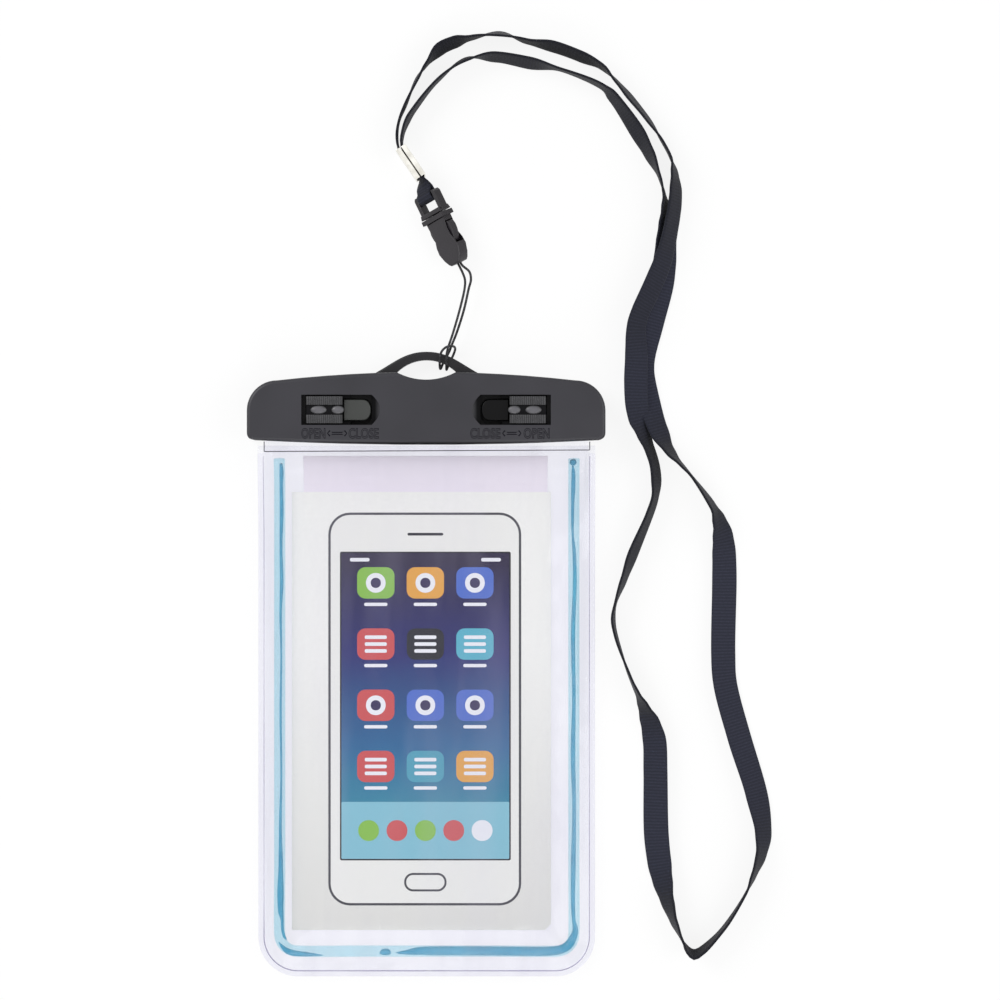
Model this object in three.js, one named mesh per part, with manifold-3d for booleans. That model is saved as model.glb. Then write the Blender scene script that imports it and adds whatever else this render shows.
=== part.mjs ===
// Waterproof phone pouch with a neck lanyard, lying on its back as it was laid down.
// Millimetres. +X to the right, +Y towards the lanyard, +Z up from the surface it lies on.
// The pouch is a two-leaf film bag held in a black two-part clamp. The clamp's front half lifts
// on the film below it, and two slide locks in its windows hook under the heads of two catches
// that stand on the back half. The lanyard hangs on an arch above the clamp.

import * as THREE from "three";
import { mergeVertices } from "three/addons/utils/BufferGeometryUtils.js";
import Module from "manifold-3d";

const wasm = await Module();
wasm.setup();

// Driving dimensions of the clamp. y = 0 is the middle of its lower edge.
const clampWidth = 119;
const clampHeight = 24;
const clampThickness = 14;
const crown = 2.8;
const bow = 1.5;
const topCorner = 10;
const bottomCorner = 2.5;
const edgeRound = 1.2;
const shellFace = 2;
const shellWall = 1.8;
const clearance = 0.3;
const notchWidth = 20;
const notchDepth = 2.6;

// The arch that the lanyard hangs on, moulded on the back half.
const archRise = 7;
const archSpan = 34;
const archThickness = 4;
const archLift = 1.7;
const eyeRise = 4.2;

// The bag of two film leaves, welded round three sides.
const bagWidth = 112.6;
const bagLength = 177.8;
const bagCorner = 13.3;
const filmThickness = 0.4;
const weldWidth = 1.8;
const weldHeight = 2.7;
const bagDepth = 9.4;
const sideSlope = 30;
const filmGrip = 4.6;
const foldDrop = 2.45;
const mouthInset = 2.5;
const mouthSlope = 45;

// The luminous tube and the picture card in the bag.
const tubeDiameter = 3.8;
const tubeInset = 7.1;
const tubeFoot = 8.4;
const tubeHead = 4.8;
const tubeBend = 5.7;
const cardWidth = 86.7;
const cardLength = 146.7;
const cardThickness = 0.4;
const cardTop = 15.8;
const cardShift = -1.8;
const tabWidth = 81.7;
const tabLength = 12;
const tabShift = -0.4;
const cardChamfer = 2;

// The mouth seal: a rib on the front plate that presses a gasket in the back plate's groove.
const sealHeight = 2.7;
const ribWidth = 1;
const ribDepth = 0.4;
const grooveDepth = 1.9;
const gasketHeight = 1.1;
const sealWidth = 104;

// The slide locks. Each has x towards CLOSE, from the middle of its window.
const lockSpacing = 59.4;
const lockHeight = 11.4;
const windowLength = 23.3;
const windowHeight = 10;
const scoopLength = 2.8;
const catchStart = 2.3;
const catchLength = 9;
const catchHeight = 6.9;
const catchHead = 1.2;
const catchNeck = 4.8;
const catchNose = 2.8;
const studDepth = 1.6;
const sliderStart = -10;
const sliderTravel = 9;
const sliderLeg = 2.5;
const flangeOverlap = 1.15;
const sliderBase = 1.4;
const sliderWall = 0.65;
const padProud = 0.6;
const ribPitch = 0.7;
const ribRelief = 0.15;
const thumbGroove = 3.3;

// The side-release buckle, the crimp and the ribbon of the lanyard.
const socketLength = 17.6;
const socketHalfWidth = 5.2;
const socketHalfDepth = 2.75;
const socketWall = 0.85;
const mouthBand = 3.1;
const plugBar = 6.9;
const barRadius = 1;
const prongDepth = 2.9;
const ribbonWidth = 9;
const ribbonThickness = 0.8;
const loopWidth = 6.6;
const loopThickness = 1.8;
const crimpLength = 12;
const crimpWidth = 10.6;
const crimpThickness = 3.8;
const crimpSheet = 0.5;
const cordDiameter = 1;

// Levels through the clamp, from the back face up.
const partingLevel = clampThickness / 2;
const filmLevelBack = shellFace + clearance;
const plateLevelBack = filmLevelBack + filmThickness + clearance;
const backTop = partingLevel - clearance / 2;
const frontBottom = partingLevel + clearance / 2;
const faceLevelFront = clampThickness - shellFace;
const filmLevelFront = faceLevelFront - clearance - filmThickness;
const plateLevelFront = filmLevelFront - clearance;
const hingeLevel = filmLevelFront + filmThickness / 2;

// Places that follow from them.
const mouthWidth = bagWidth - 2 * mouthInset;
const archTop = clampHeight + archRise;
const bagHalf = bagWidth / 2;
const plateInset = shellWall + clearance;
const notchRadius = (notchWidth ** 2 / 4 + notchDepth ** 2) / (2 * notchDepth);
const notchCentre = clampHeight - notchDepth + notchRadius;
const eyeRadius = (notchWidth ** 2 / 4 + eyeRise ** 2) / (2 * eyeRise);
const eyeCentre = clampHeight + eyeRise - eyeRadius;
const channelTop = faceLevelFront - clearance;
const flangeHalf = windowHeight / 2 + flangeOverlap;
const padHalf = windowHeight / 2 - 0.55;
const lipTop = plateLevelFront;
const lipBottom = lipTop - sliderBase;
const pocketFloor = lipBottom - clearance;
const headBottom = lipTop + clearance;
const headTop = headBottom + catchHead;
const padBottom = headTop + clearance;
const padTop = clampThickness + padProud;
const padLength = catchStart - clearance - sliderStart;

// How far a point of the back half that stands in the front half moves down the bag, seen from
// the front half, while that half swings clear of it about the fold of the film.
const catchReach = lockHeight - catchHeight / 2 + foldDrop;
const catchDrop = headTop - frontBottom;
const catchSwing = catchReach - Math.sqrt(catchReach ** 2 - catchDrop ** 2);

// Materials.
const paint = (color, roughness, metalness = 0) => new THREE.MeshStandardMaterial({ color, roughness, metalness });
const blackPlastic = paint("#2b2a2e", 0.5);
const glossBlack = paint("#1d1d1f", 0.25);
const catchGrey = paint("#3b3c3b", 0.4);
const clearFilm = new THREE.MeshStandardMaterial({
  color: "#e6e4f2",
  roughness: 0.15,
  metalness: 0,
  transparent: true,
  opacity: 0.35,
});
const blueTube = paint("#8cc4df", 0.3);
const greyCard = paint("#dcdcdc", 0.8);
const gasketRubber = paint("#3a3a3c", 0.8);
const navyRibbon = paint("#2a2c39", 0.9);
const brightSteel = paint("#c9c6bd", 0.25, 1);
const blackCord = paint("#1c1c1e", 0.8);

// A closed geometry as a solid, and back.
function solidOf(geometry) {
  const bare = geometry.clone();
  bare.deleteAttribute("normal");
  bare.deleteAttribute("uv");
  const merged = mergeVertices(bare, 1e-4);
  return new wasm.Manifold(
    new wasm.Mesh({
      numProp: 3,
      vertProperties: merged.attributes.position.array,
      triVerts: new Uint32Array(merged.index.array),
    }),
  );
}

function geometryOf(solid) {
  const mesh = solid.getMesh();
  const geometry = new THREE.BufferGeometry();
  geometry.setAttribute("position", new THREE.BufferAttribute(mesh.vertProperties, 3));
  geometry.setIndex(new THREE.BufferAttribute(mesh.triVerts, 1));
  const faceted = geometry.toNonIndexed();
  faceted.computeVertexNormals();
  return faceted;
}

// An outline in XY raised from one level to another.
function prism(shape, from, to, curveSegments = 12) {
  const geometry = new THREE.ExtrudeGeometry(shape, { depth: to - from, bevelEnabled: false, curveSegments });
  return geometry.translate(0, 0, from);
}

// The same with its top edge rounded.
function roundedPrism(shape, from, to, radius, curveSegments = 12) {
  const geometry = new THREE.ExtrudeGeometry(shape, {
    depth: to - radius - from,
    bevelThickness: radius,
    bevelSize: radius,
    bevelOffset: -radius,
    bevelSegments: 3,
    curveSegments,
  });
  const above = block(-1000, 1000, -1000, 1000, from, to + 1);
  return solidOf(geometry.translate(0, 0, from)).intersect(solidOf(above));
}

// An outline in YZ drawn out along X, and one in XZ drawn out along Y.
function alongX(shape, from, to) {
  const turn = new THREE.Matrix4().makeBasis(
    new THREE.Vector3(0, 1, 0),
    new THREE.Vector3(0, 0, 1),
    new THREE.Vector3(1, 0, 0),
  );
  return prism(shape, from, to).applyMatrix4(turn);
}

function alongY(shape, from, to) {
  return prism(shape, 0, to - from).rotateX(Math.PI / 2).translate(0, to, 0);
}

function block(x0, x1, y0, y1, z0, z1) {
  const geometry = new THREE.BoxGeometry(x1 - x0, y1 - y0, z1 - z0);
  return geometry.translate((x0 + x1) / 2, (y0 + y1) / 2, (z0 + z1) / 2);
}

function outline(points) {
  return new THREE.Shape(points.map(([x, y]) => new THREE.Vector2(x, y)));
}

// A round post with its axis along Z.
function post(x, y, radius, from, to, segments = 72) {
  const geometry = new THREE.CylinderGeometry(radius, radius, to - from, segments);
  return geometry.rotateX(Math.PI / 2).translate(x, y, (from + to) / 2);
}

// A solid through a row of sections, each a ring of as many points, turning left round the way ahead.
function loft(sections) {
  const count = sections[0].length;
  const positions = sections.flat().flatMap((p) => [p.x, p.y, p.z]);
  const faces = [];
  for (let i = 0; i + 1 < sections.length; i++) {
    for (let k = 0; k < count; k++) {
      const a = i * count + k;
      const b = i * count + ((k + 1) % count);
      faces.push(a, b, b + count, a, b + count, a + count);
    }
  }
  const last = (sections.length - 1) * count;
  for (let k = 1; k + 1 < count; k++) {
    faces.push(0, k + 1, k);
    faces.push(last, last + k, last + k + 1);
  }
  const geometry = new THREE.BufferGeometry();
  geometry.setAttribute("position", new THREE.Float32BufferAttribute(positions, 3));
  geometry.setIndex(faces);
  return geometry;
}

// A flat band's section: across is the direction of its width, ahead the way it runs.
function bandSection(centre, across, ahead, width, thickness) {
  const face = new THREE.Vector3().crossVectors(ahead, across).normalize();
  const corner = (w, t) =>
    centre.clone().addScaledVector(across, (w * width) / 2).addScaledVector(face, (t * thickness) / 2);
  return [corner(1, -1), corner(1, 1), corner(-1, 1), corner(-1, -1)];
}

// A thin sheet over a grid, between two height functions.
function sheet(xs, ys, top, bottom) {
  const positions = [];
  for (const height of [bottom, top]) {
    for (const y of ys) {
      for (const x of xs) positions.push(x, y, height(x, y));
    }
  }
  const wide = xs.length;
  const layer = wide * ys.length;
  const faces = [];
  const quad = (a, b, c, d) => faces.push(a, b, c, a, c, d);
  for (let j = 0; j + 1 < ys.length; j++) {
    for (let i = 0; i + 1 < wide; i++) {
      const a = j * wide + i;
      quad(layer + a, layer + a + 1, layer + a + 1 + wide, layer + a + wide);
      quad(a, a + wide, a + wide + 1, a + 1);
    }
    const left = j * wide;
    const right = left + wide - 1;
    quad(left, layer + left, layer + left + wide, left + wide);
    quad(right, right + wide, layer + right + wide, layer + right);
  }
  for (let i = 0; i + 1 < wide; i++) {
    const far = (ys.length - 1) * wide + i;
    quad(i, i + 1, layer + i + 1, layer + i);
    quad(far, layer + far, layer + far + 1, far + 1);
  }
  const geometry = new THREE.BufferGeometry();
  geometry.setAttribute("position", new THREE.Float32BufferAttribute(positions, 3));
  geometry.setIndex(faces);
  return geometry;
}

const ease = (from, to, value) => THREE.MathUtils.smoothstep(value, from, to);
const mix = THREE.MathUtils.lerp;

const pouch = new THREE.Group();
pouch.name = "pouch";
// The bag's foot and the arch's top lie as far from the origin.
pouch.position.y = (bagLength - archTop) / 2;
const frontClamp = new THREE.Group();
pouch.add(frontClamp);

function place(group, name, geometry, material) {
  const mesh = new THREE.Mesh(geometry, material);
  mesh.name = name;
  group.add(mesh);
  return mesh;
}

// The clamp's outline, crowned above and bowed below, with each edge taken in by its own inset.
function clampOutline(sideInset, topInset, bottomInset) {
  const half = clampWidth / 2 - sideInset;
  const corner = Math.max(topCorner - topInset, 1);
  const shoulder = clampHeight - crown - topInset;
  const foot = bow + bottomInset;
  const pull = corner * 0.45;
  const shape = new THREE.Shape();
  shape.moveTo(-half + bottomCorner, foot);
  shape.quadraticCurveTo(0, foot - 2 * bow, half - bottomCorner, foot);
  shape.quadraticCurveTo(half, foot, half, foot + bottomCorner);
  shape.lineTo(half, shoulder - corner);
  shape.bezierCurveTo(half, shoulder - pull, half - pull, shoulder, half - corner, shoulder);
  shape.quadraticCurveTo(0, shoulder + 2 * crown, -half + corner, shoulder);
  shape.bezierCurveTo(-half + pull, shoulder, -half, shoulder - pull, -half, shoulder - corner);
  shape.lineTo(-half, foot + bottomCorner);
  shape.quadraticCurveTo(-half, foot, -half + bottomCorner, foot);
  return shape;
}

// The notch for the lanyard, grown by what stands round it.
function notchCut(grow) {
  return solidOf(post(0, notchCentre, notchRadius + grow, -5, clampThickness + 5, 96));
}

// Where a shell is hollow: open along the lower edge, where the film comes in.
function shellHollow(from, to) {
  return solidOf(prism(clampOutline(shellWall, shellWall, -bow - 4), from, to)).subtract(notchCut(shellWall));
}

// A plate that fills a shell behind the film, from the mouth up to the shell's wall.
function clampPlate(from, to) {
  return solidOf(prism(clampOutline(plateInset, plateInset, 0.6), from, to)).subtract(notchCut(plateInset));
}

// Something of one lock, set at the left lock and mirrored to the right one.
function atBothLocks(solid) {
  const left = solid.translate([-lockSpacing / 2, lockHeight, 0]);
  return left.add(left.mirror([1, 0, 0]));
}

// Back shell: dished moulding with the hanging arch on its upper edge.
const archHalf = archSpan / 2;
const archOutline = new THREE.Shape();
archOutline.moveTo(-archHalf, clampHeight - 2);
archOutline.lineTo(-archHalf, clampHeight);
archOutline.bezierCurveTo(-archHalf * 0.62, archTop - 3.4, -archHalf * 0.42, archTop, 0, archTop);
archOutline.bezierCurveTo(archHalf * 0.42, archTop, archHalf * 0.62, archTop - 3.4, archHalf, clampHeight);
archOutline.lineTo(archHalf, clampHeight - 2);
const arch = roundedPrism(archOutline, archLift, archLift + archThickness, 0.7)
  .subtract(solidOf(post(0, eyeCentre, eyeRadius, -1, clampThickness, 96)));
const backShell = solidOf(prism(clampOutline(0, 0, 0), 0, backTop))
  .subtract(notchCut(0))
  .add(arch)
  .subtract(shellHollow(shellFace, backTop + 1));
place(pouch, "back_shell", geometryOf(backShell), blackPlastic);

// Back plate: clamps the back film in the shell. It carries the gasket's groove along the mouth
// and a pocket for the stud of each catch.
const grooveLow = sealHeight - ribWidth / 2 - clearance;
const grooveHigh = sealHeight + ribWidth / 2 + clearance + ribDepth;
const grooveFloor = backTop - grooveDepth;
const catchHalf = catchHeight / 2;
const catchEnd = catchStart + catchLength;

// The outline of a catch's head: square where the slide waits, round at the far end.
function catchOutline(grow, swing) {
  const start = catchStart - grow;
  const end = catchEnd + grow;
  const nose = end - catchNose - grow;
  const low = -catchHalf - grow - swing;
  const high = catchHalf + grow;
  const shape = new THREE.Shape();
  shape.moveTo(start, low);
  shape.lineTo(nose, low);
  shape.bezierCurveTo(end - catchNose * 0.25, low, end, low * 0.5, end, (low + high) / 2);
  shape.bezierCurveTo(end, high * 0.5, end - catchNose * 0.25, high, nose, high);
  shape.lineTo(start, high);
  return shape;
}
const neckStart = catchStart + 0.5;
const neckEnd = catchEnd - 1;
const studHalf = catchNeck / 2 - 0.8;
const studStart = neckStart + 1;
const studEnd = neckEnd - 1;
const studPocket = solidOf(block(studStart - clearance, studEnd + clearance, -studHalf - clearance,
  studHalf + clearance, backTop - studDepth - clearance, backTop + 1));
const backPlate = clampPlate(plateLevelBack, backTop)
  .subtract(solidOf(block(-sealWidth / 2, sealWidth / 2, grooveLow, grooveHigh, grooveFloor, backTop + 1)))
  .subtract(atBothLocks(studPocket));
place(pouch, "back_plate", geometryOf(backPlate), glossBlack);

// Catches: T-headed hooks, each with its stud set in the back plate, one for each slide.
const catchSolid = roundedPrism(catchOutline(0, 0), headBottom, headTop, 0.35, 6)
  .add(solidOf(block(neckStart, neckEnd, -catchNeck / 2, catchNeck / 2, backTop, headBottom + 0.5)))
  .add(solidOf(block(studStart, studEnd, -studHalf, studHalf, backTop - studDepth, backTop + 0.5)));
const catchGeometry = geometryOf(catchSolid);

// Gasket: a soft strip in the groove, just under the rib.
const gasketMiddle = (grooveLow + grooveHigh) / 2;
const gasketHalf = (grooveHigh - grooveLow) / 2 - clearance;
const gasketFloor = grooveFloor + 0.2;
const gasketShape = outline([
  [gasketMiddle - gasketHalf, gasketFloor],
  [gasketMiddle + gasketHalf, gasketFloor],
  [gasketMiddle + gasketHalf, gasketFloor + gasketHeight - 0.3],
  [gasketMiddle + gasketHalf - 0.3, gasketFloor + gasketHeight],
  [gasketMiddle - gasketHalf + 0.3, gasketFloor + gasketHeight],
  [gasketMiddle - gasketHalf, gasketFloor + gasketHeight - 0.3],
]);
place(pouch, "mouth_gasket", alongX(gasketShape, -sealWidth / 2 + 0.4, sealWidth / 2 - 0.4), gasketRubber);

// The bag's form. The back leaf lies on the surface and rises to the clamp; the front leaf is
// blown up between the welds; the weld itself rises to mid-height at the clamp.
const mouthLine = -foldDrop;
function edgeDistance(x, y) {
  const side = bagHalf - Math.abs(x);
  const foot = y + bagLength;
  if (side < bagCorner && foot < bagCorner) return bagCorner - Math.hypot(bagCorner - side, bagCorner - foot);
  return Math.min(side, foot);
}
const bagFloor = (y) => filmLevelBack * ease(-14, mouthLine - 1, y);
const weldLevel = (y) => mix(weldHeight, partingLevel, ease(-32, mouthLine, y));
const crownLevel = (y) => mix(bagDepth, filmLevelFront + filmThickness, ease(-mouthSlope, mouthLine, y));
const slopeLength = (y) => mix(sideSlope, 2.6, ease(-mouthSlope, mouthLine, y));
function backBottom(x, y) {
  const inward = THREE.MathUtils.clamp((edgeDistance(x, y) - weldWidth) / 3.2, 0, 1);
  const weld = weldLevel(y) - clearance / 2 - filmThickness;
  return mix(bagFloor(y), weld, (1 - inward) ** 2);
}
function frontTop(x, y) {
  const inward = THREE.MathUtils.clamp((edgeDistance(x, y) - weldWidth) / slopeLength(y), 0, 1);
  const weld = weldLevel(y) + clearance / 2 + filmThickness;
  return mix(weld, crownLevel(y), 1 - (1 - inward) ** 2.2);
}

// Grid lines, close together where the film bends.
function gridFrom(steps, mirrored) {
  return mirrored ? [...steps.map((v) => -v), ...steps.slice().reverse()] : steps;
}
const filmColumns = gridFrom([0, weldWidth, 3.3, 5, 7.1, 10, 14, 20, 28, 40].map((inset) => bagHalf - inset), true)
  .sort((a, b) => a - b);
const filmRows = [0, weldWidth, 3.3, 5, 7.1, 10, 13.3, 18, 26, 40, 65, 95, 120, 138]
  .map((up) => up - bagLength)
  .concat([-32, -24, -17, -14, -11, -8, -5.5, -3.5, mouthLine - clearance / 2, -clearance]);

// The bag's outline with round bottom corners, and a strip left out at the mouth.
function bagOutline(mouthTop, mouthHalf, mouthLevel) {
  const shape = new THREE.Shape();
  const low = -bagLength;
  shape.moveTo(-bagHalf + bagCorner, low);
  shape.lineTo(bagHalf - bagCorner, low);
  shape.absarc(bagHalf - bagCorner, low + bagCorner, bagCorner, -Math.PI / 2, 0);
  shape.lineTo(bagHalf, -clearance);
  shape.lineTo(mouthHalf, -clearance);
  shape.lineTo(mouthHalf, mouthLevel);
  shape.lineTo(-mouthHalf, mouthLevel);
  shape.lineTo(-mouthHalf, -clearance);
  shape.lineTo(-bagHalf, -clearance);
  shape.lineTo(-bagHalf, low + bagCorner);
  shape.absarc(-bagHalf + bagCorner, low + bagCorner, bagCorner, Math.PI, 1.5 * Math.PI);
  return shape;
}

// Back film: one leaf from the foot of the bag up into the clamp's back half.
const grippedHalf = mouthWidth / 2 - 2.4;
const backRows = filmRows.concat([filmGrip]);
const backLeaf = sheet(filmColumns, backRows, (x, y) => backBottom(x, y) + filmThickness, backBottom);
const backFilm = solidOf(backLeaf)
  .intersect(solidOf(prism(bagOutline(0, grippedHalf, filmGrip), -5, clampThickness + 5)));
place(pouch, "back_film", geometryOf(backFilm), clearFilm);

// Front film: the blown-up leaf, from the foot up to the fold below the clamp.
const frontLeaf = sheet(filmColumns, filmRows, frontTop, (x, y) => frontTop(x, y) - filmThickness);
const frontFilm = solidOf(frontLeaf)
  .intersect(solidOf(prism(bagOutline(0, mouthWidth / 2 + clearance, mouthLine - clearance / 2), -5, clampThickness + 5)));
place(pouch, "front_film", geometryOf(frontFilm), clearFilm);

// The stretch of the front leaf above the fold, gripped in the front half and moving with it.
const mouthStrip = block(-mouthWidth / 2, mouthWidth / 2, mouthLine + clearance / 2, filmGrip,
  filmLevelFront, filmLevelFront + filmThickness);
place(frontClamp, "front_mouth_strip", mouthStrip, clearFilm);

// Luminous tube: a soft U between the leaves, inside the weld, cut square at its two ends.
const tubeRadius = tubeDiameter / 2;
const tubeX = bagHalf - tubeInset;
const tubeY = tubeFoot - bagLength;
function tubePoint(x, y) {
  return new THREE.Vector3(x, y, bagFloor(y) + filmThickness + clearance + tubeRadius);
}
const tubeLeg = [-tubeHead, -6.2, -8, -11, -14, -20, -60, -100, -140, tubeY + tubeBend];
const bendAngles = [15, 30, 45, 60, 75, 90].map(THREE.MathUtils.degToRad);
const tubeCourse = [
  ...tubeLeg.map((y) => tubePoint(-tubeX, y)),
  ...bendAngles.map((a) => tubePoint(-tubeX + tubeBend * (1 - Math.cos(a)), tubeY + tubeBend * (1 - Math.sin(a)))),
  ...[-20, 0, 20].map((x) => tubePoint(x, tubeY)),
  ...bendAngles.slice().reverse()
    .map((a) => tubePoint(tubeX - tubeBend * (1 - Math.cos(a)), tubeY + tubeBend * (1 - Math.sin(a)))),
  ...tubeLeg.slice().reverse().map((y) => tubePoint(tubeX, y)),
];
function circle(radius, segments) {
  const shape = new THREE.Shape();
  for (let k = 0; k < segments; k++) {
    const a = (2 * Math.PI * k) / segments;
    if (k === 0) shape.moveTo(radius, 0);
    else shape.lineTo(radius * Math.cos(a), radius * Math.sin(a));
  }
  return shape;
}
const tubeRoute = new THREE.CatmullRomCurve3(tubeCourse, false, "centripetal");
place(
  pouch,
  "luminous_tube",
  new THREE.ExtrudeGeometry(circle(tubeRadius, 12), { steps: 76, extrudePath: tubeRoute }),
  blueTube,
);

// Picture card: one stiff card with a narrower tab above, lying on the back leaf.
const cardBottom = -cardTop - cardLength;
const cardLeft = cardShift - cardWidth / 2;
const cardRight = cardShift + cardWidth / 2;
const tabLeft = tabShift - tabWidth / 2;
const tabRight = tabShift + tabWidth / 2;
const cardOutline = outline([
  [cardLeft, cardBottom],
  [cardRight - cardChamfer, cardBottom],
  [cardRight, cardBottom + cardChamfer],
  [cardRight, -cardTop],
  [tabRight, -cardTop],
  [tabRight, -cardTop + tabLength],
  [tabLeft, -cardTop + tabLength],
  [tabLeft, -cardTop],
  [cardLeft, -cardTop],
]);
const cardRows = [cardBottom, -60, -17, -14, -12, -10, -8, -6, -cardTop + tabLength];
const cardUnder = (x, y) => bagFloor(y) + filmThickness + clearance;
const cardBlank = sheet([cardLeft, cardRight], cardRows, (x, y) => cardUnder(x, y) + cardThickness, cardUnder);
const insertCard = solidOf(cardBlank).intersect(solidOf(prism(cardOutline, -5, clampThickness)));
place(pouch, "insert_card", geometryOf(insertCard), greyCard);

// Front shell: dished moulding with a window over each lock. The window ends in a scoop for the
// thumb on the CLOSE side.
const windowHalf = windowLength / 2;
const windowHole = solidOf(block(-windowHalf, windowHalf, -windowHeight / 2, windowHeight / 2,
  faceLevelFront - 1, clampThickness + 1));
const scoopOutline = new THREE.Shape();
scoopOutline.moveTo(windowHalf - 1, -windowHeight / 2);
scoopOutline.lineTo(windowHalf, -windowHeight / 2);
scoopOutline.quadraticCurveTo(windowHalf + 2 * scoopLength, 0, windowHalf, windowHeight / 2);
scoopOutline.lineTo(windowHalf - 1, windowHeight / 2);
const scoopSlope = outline([
  [windowHalf - 2, faceLevelFront + 0.1],
  [windowHalf, faceLevelFront + 0.1],
  [windowHalf + scoopLength + 0.2, clampThickness],
  [windowHalf + scoopLength + 0.2, clampThickness + 1],
  [windowHalf - 2, clampThickness + 1],
]);
const scoop = solidOf(prism(scoopOutline, faceLevelFront, clampThickness + 1))
  .intersect(solidOf(alongY(scoopSlope, -windowHeight, windowHeight)));
const frontShell = roundedPrism(clampOutline(0, 0, 0), frontBottom, clampThickness, edgeRound)
  .subtract(notchCut(0))
  .subtract(shellHollow(frontBottom - 1, faceLevelFront))
  .subtract(atBothLocks(windowHole.add(scoop)));
place(frontClamp, "front_shell", geometryOf(frontShell), blackPlastic);

// Front plate: clamps the front film in the shell, carries the sealing rib, guides the slides in
// a recess and lets the catches through its slots.
const recessHalf = flangeHalf + clearance;
const recessStart = sliderStart - clearance;
const recessEnd = catchStart - clearance + sliderLeg + sliderTravel + clearance;
const slideRecess = solidOf(block(recessStart, recessEnd, -recessHalf, recessHalf, pocketFloor, plateLevelFront + 1));
const catchSlot = solidOf(prism(catchOutline(clearance, catchSwing), frontBottom - 1, pocketFloor + 1, 6));
const frontPlate = clampPlate(frontBottom, plateLevelFront)
  .subtract(atBothLocks(slideRecess.add(catchSlot)))
  .add(solidOf(block(-sealWidth / 2 + 0.6, sealWidth / 2 - 0.6, sealHeight - ribWidth / 2, sealHeight + ribWidth / 2,
    frontBottom - clearance - ribDepth, frontBottom + 0.5)));
place(frontClamp, "front_plate", geometryOf(frontPlate), glossBlack);

// Slide: a channel whose lips run under the catch's head, with a ribbed pad in the window, two
// polished buttons along the pad's groove, and short legs beside the head.
const wallInner = padHalf - sliderWall;
const lipInner = catchNeck / 2 + clearance + 0.1;
const channelShape = outline([
  [lipInner, lipBottom],
  [flangeHalf, lipBottom],
  [flangeHalf, channelTop],
  [padHalf, channelTop],
  [padHalf, padBottom + 0.4],
  [-padHalf, padBottom + 0.4],
  [-padHalf, channelTop],
  [-flangeHalf, channelTop],
  [-flangeHalf, lipBottom],
  [-lipInner, lipBottom],
  [-lipInner, lipTop],
  [-wallInner, lipTop],
  [-wallInner, padBottom],
  [wallInner, padBottom],
  [wallInner, lipTop],
  [lipInner, lipTop],
]);
const padEnd = sliderStart + padLength;
const ribCount = Math.floor((padLength - 0.4) / ribPitch);
const padProfile = [[sliderStart, padBottom], [padEnd, padBottom], [padEnd, padTop - ribRelief]];
for (let k = ribCount - 1; k >= 0; k--) {
  const rib = sliderStart + 0.3 + k * ribPitch;
  padProfile.push([rib + ribPitch * 0.55, padTop - ribRelief]);
  padProfile.push([rib + ribPitch * 0.4, padTop]);
  padProfile.push([rib + ribPitch * 0.15, padTop]);
  padProfile.push([rib, padTop - ribRelief]);
}
padProfile.push([sliderStart, padTop - ribRelief]);
const grooveLevel = padTop - 0.9;
function button(x, length) {
  const dome = new THREE.SphereGeometry(1, 16, 8).scale(length / 2, thumbGroove / 2 - 0.15, 0.75);
  return solidOf(dome.translate(x, 0, grooveLevel));
}
const thumbCut = block(sliderStart - 1, padEnd + 1, -thumbGroove / 2, thumbGroove / 2, grooveLevel, padTop + 1);
const legs = [1, -1].map((side) =>
  solidOf(block(padEnd - 0.5, padEnd + sliderLeg, Math.min(side * wallInner, side * flangeHalf),
    Math.max(side * wallInner, side * flangeHalf), lipBottom, channelTop)));
const slide = solidOf(alongX(channelShape, sliderStart, padEnd))
  .add(solidOf(alongY(outline(padProfile), -padHalf, padHalf)))
  .add(solidOf(block(sliderStart, sliderStart + 0.8, -wallInner - 0.2, wallInner + 0.2, lipTop - 0.1, padBottom + 0.2)))
  .subtract(solidOf(thumbCut))
  .add(button(sliderStart + padLength * 0.34, padLength * 0.46))
  .add(button(sliderStart + padLength * 0.87, padLength * 0.36))
  .add(legs[0])
  .add(legs[1]);
const slideGeometry = geometryOf(slide);
for (const [name, side] of [["left", -1], ["right", 1]]) {
  const lock = new THREE.Group();
  lock.position.set((side * lockSpacing) / 2, lockHeight, 0);
  lock.scale.x = -side;
  const base = lock.clone();
  place(lock, name + "_slide", slideGeometry, glossBlack);
  place(base, name + "_catch", catchGeometry, catchGrey);
  frontClamp.add(lock);
  pouch.add(base);
}

// The buckle lies on its edge. Its own x runs from the mouth to the tip, y across, z through.
const buckle = new THREE.Group();
buckle.position.set(3.33, 76.5, 5.8);
buckle.rotation.set(0, 0, THREE.MathUtils.degToRad(-64.4));
const buckleRoll = new THREE.Group();
buckleRoll.rotation.x = THREE.MathUtils.degToRad(45);
buckle.add(buckleRoll);
pouch.add(buckle);
buckle.updateMatrixWorld(true);
const buckleFrame = new THREE.Matrix4().multiplyMatrices(buckle.matrix, buckleRoll.matrix);

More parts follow.
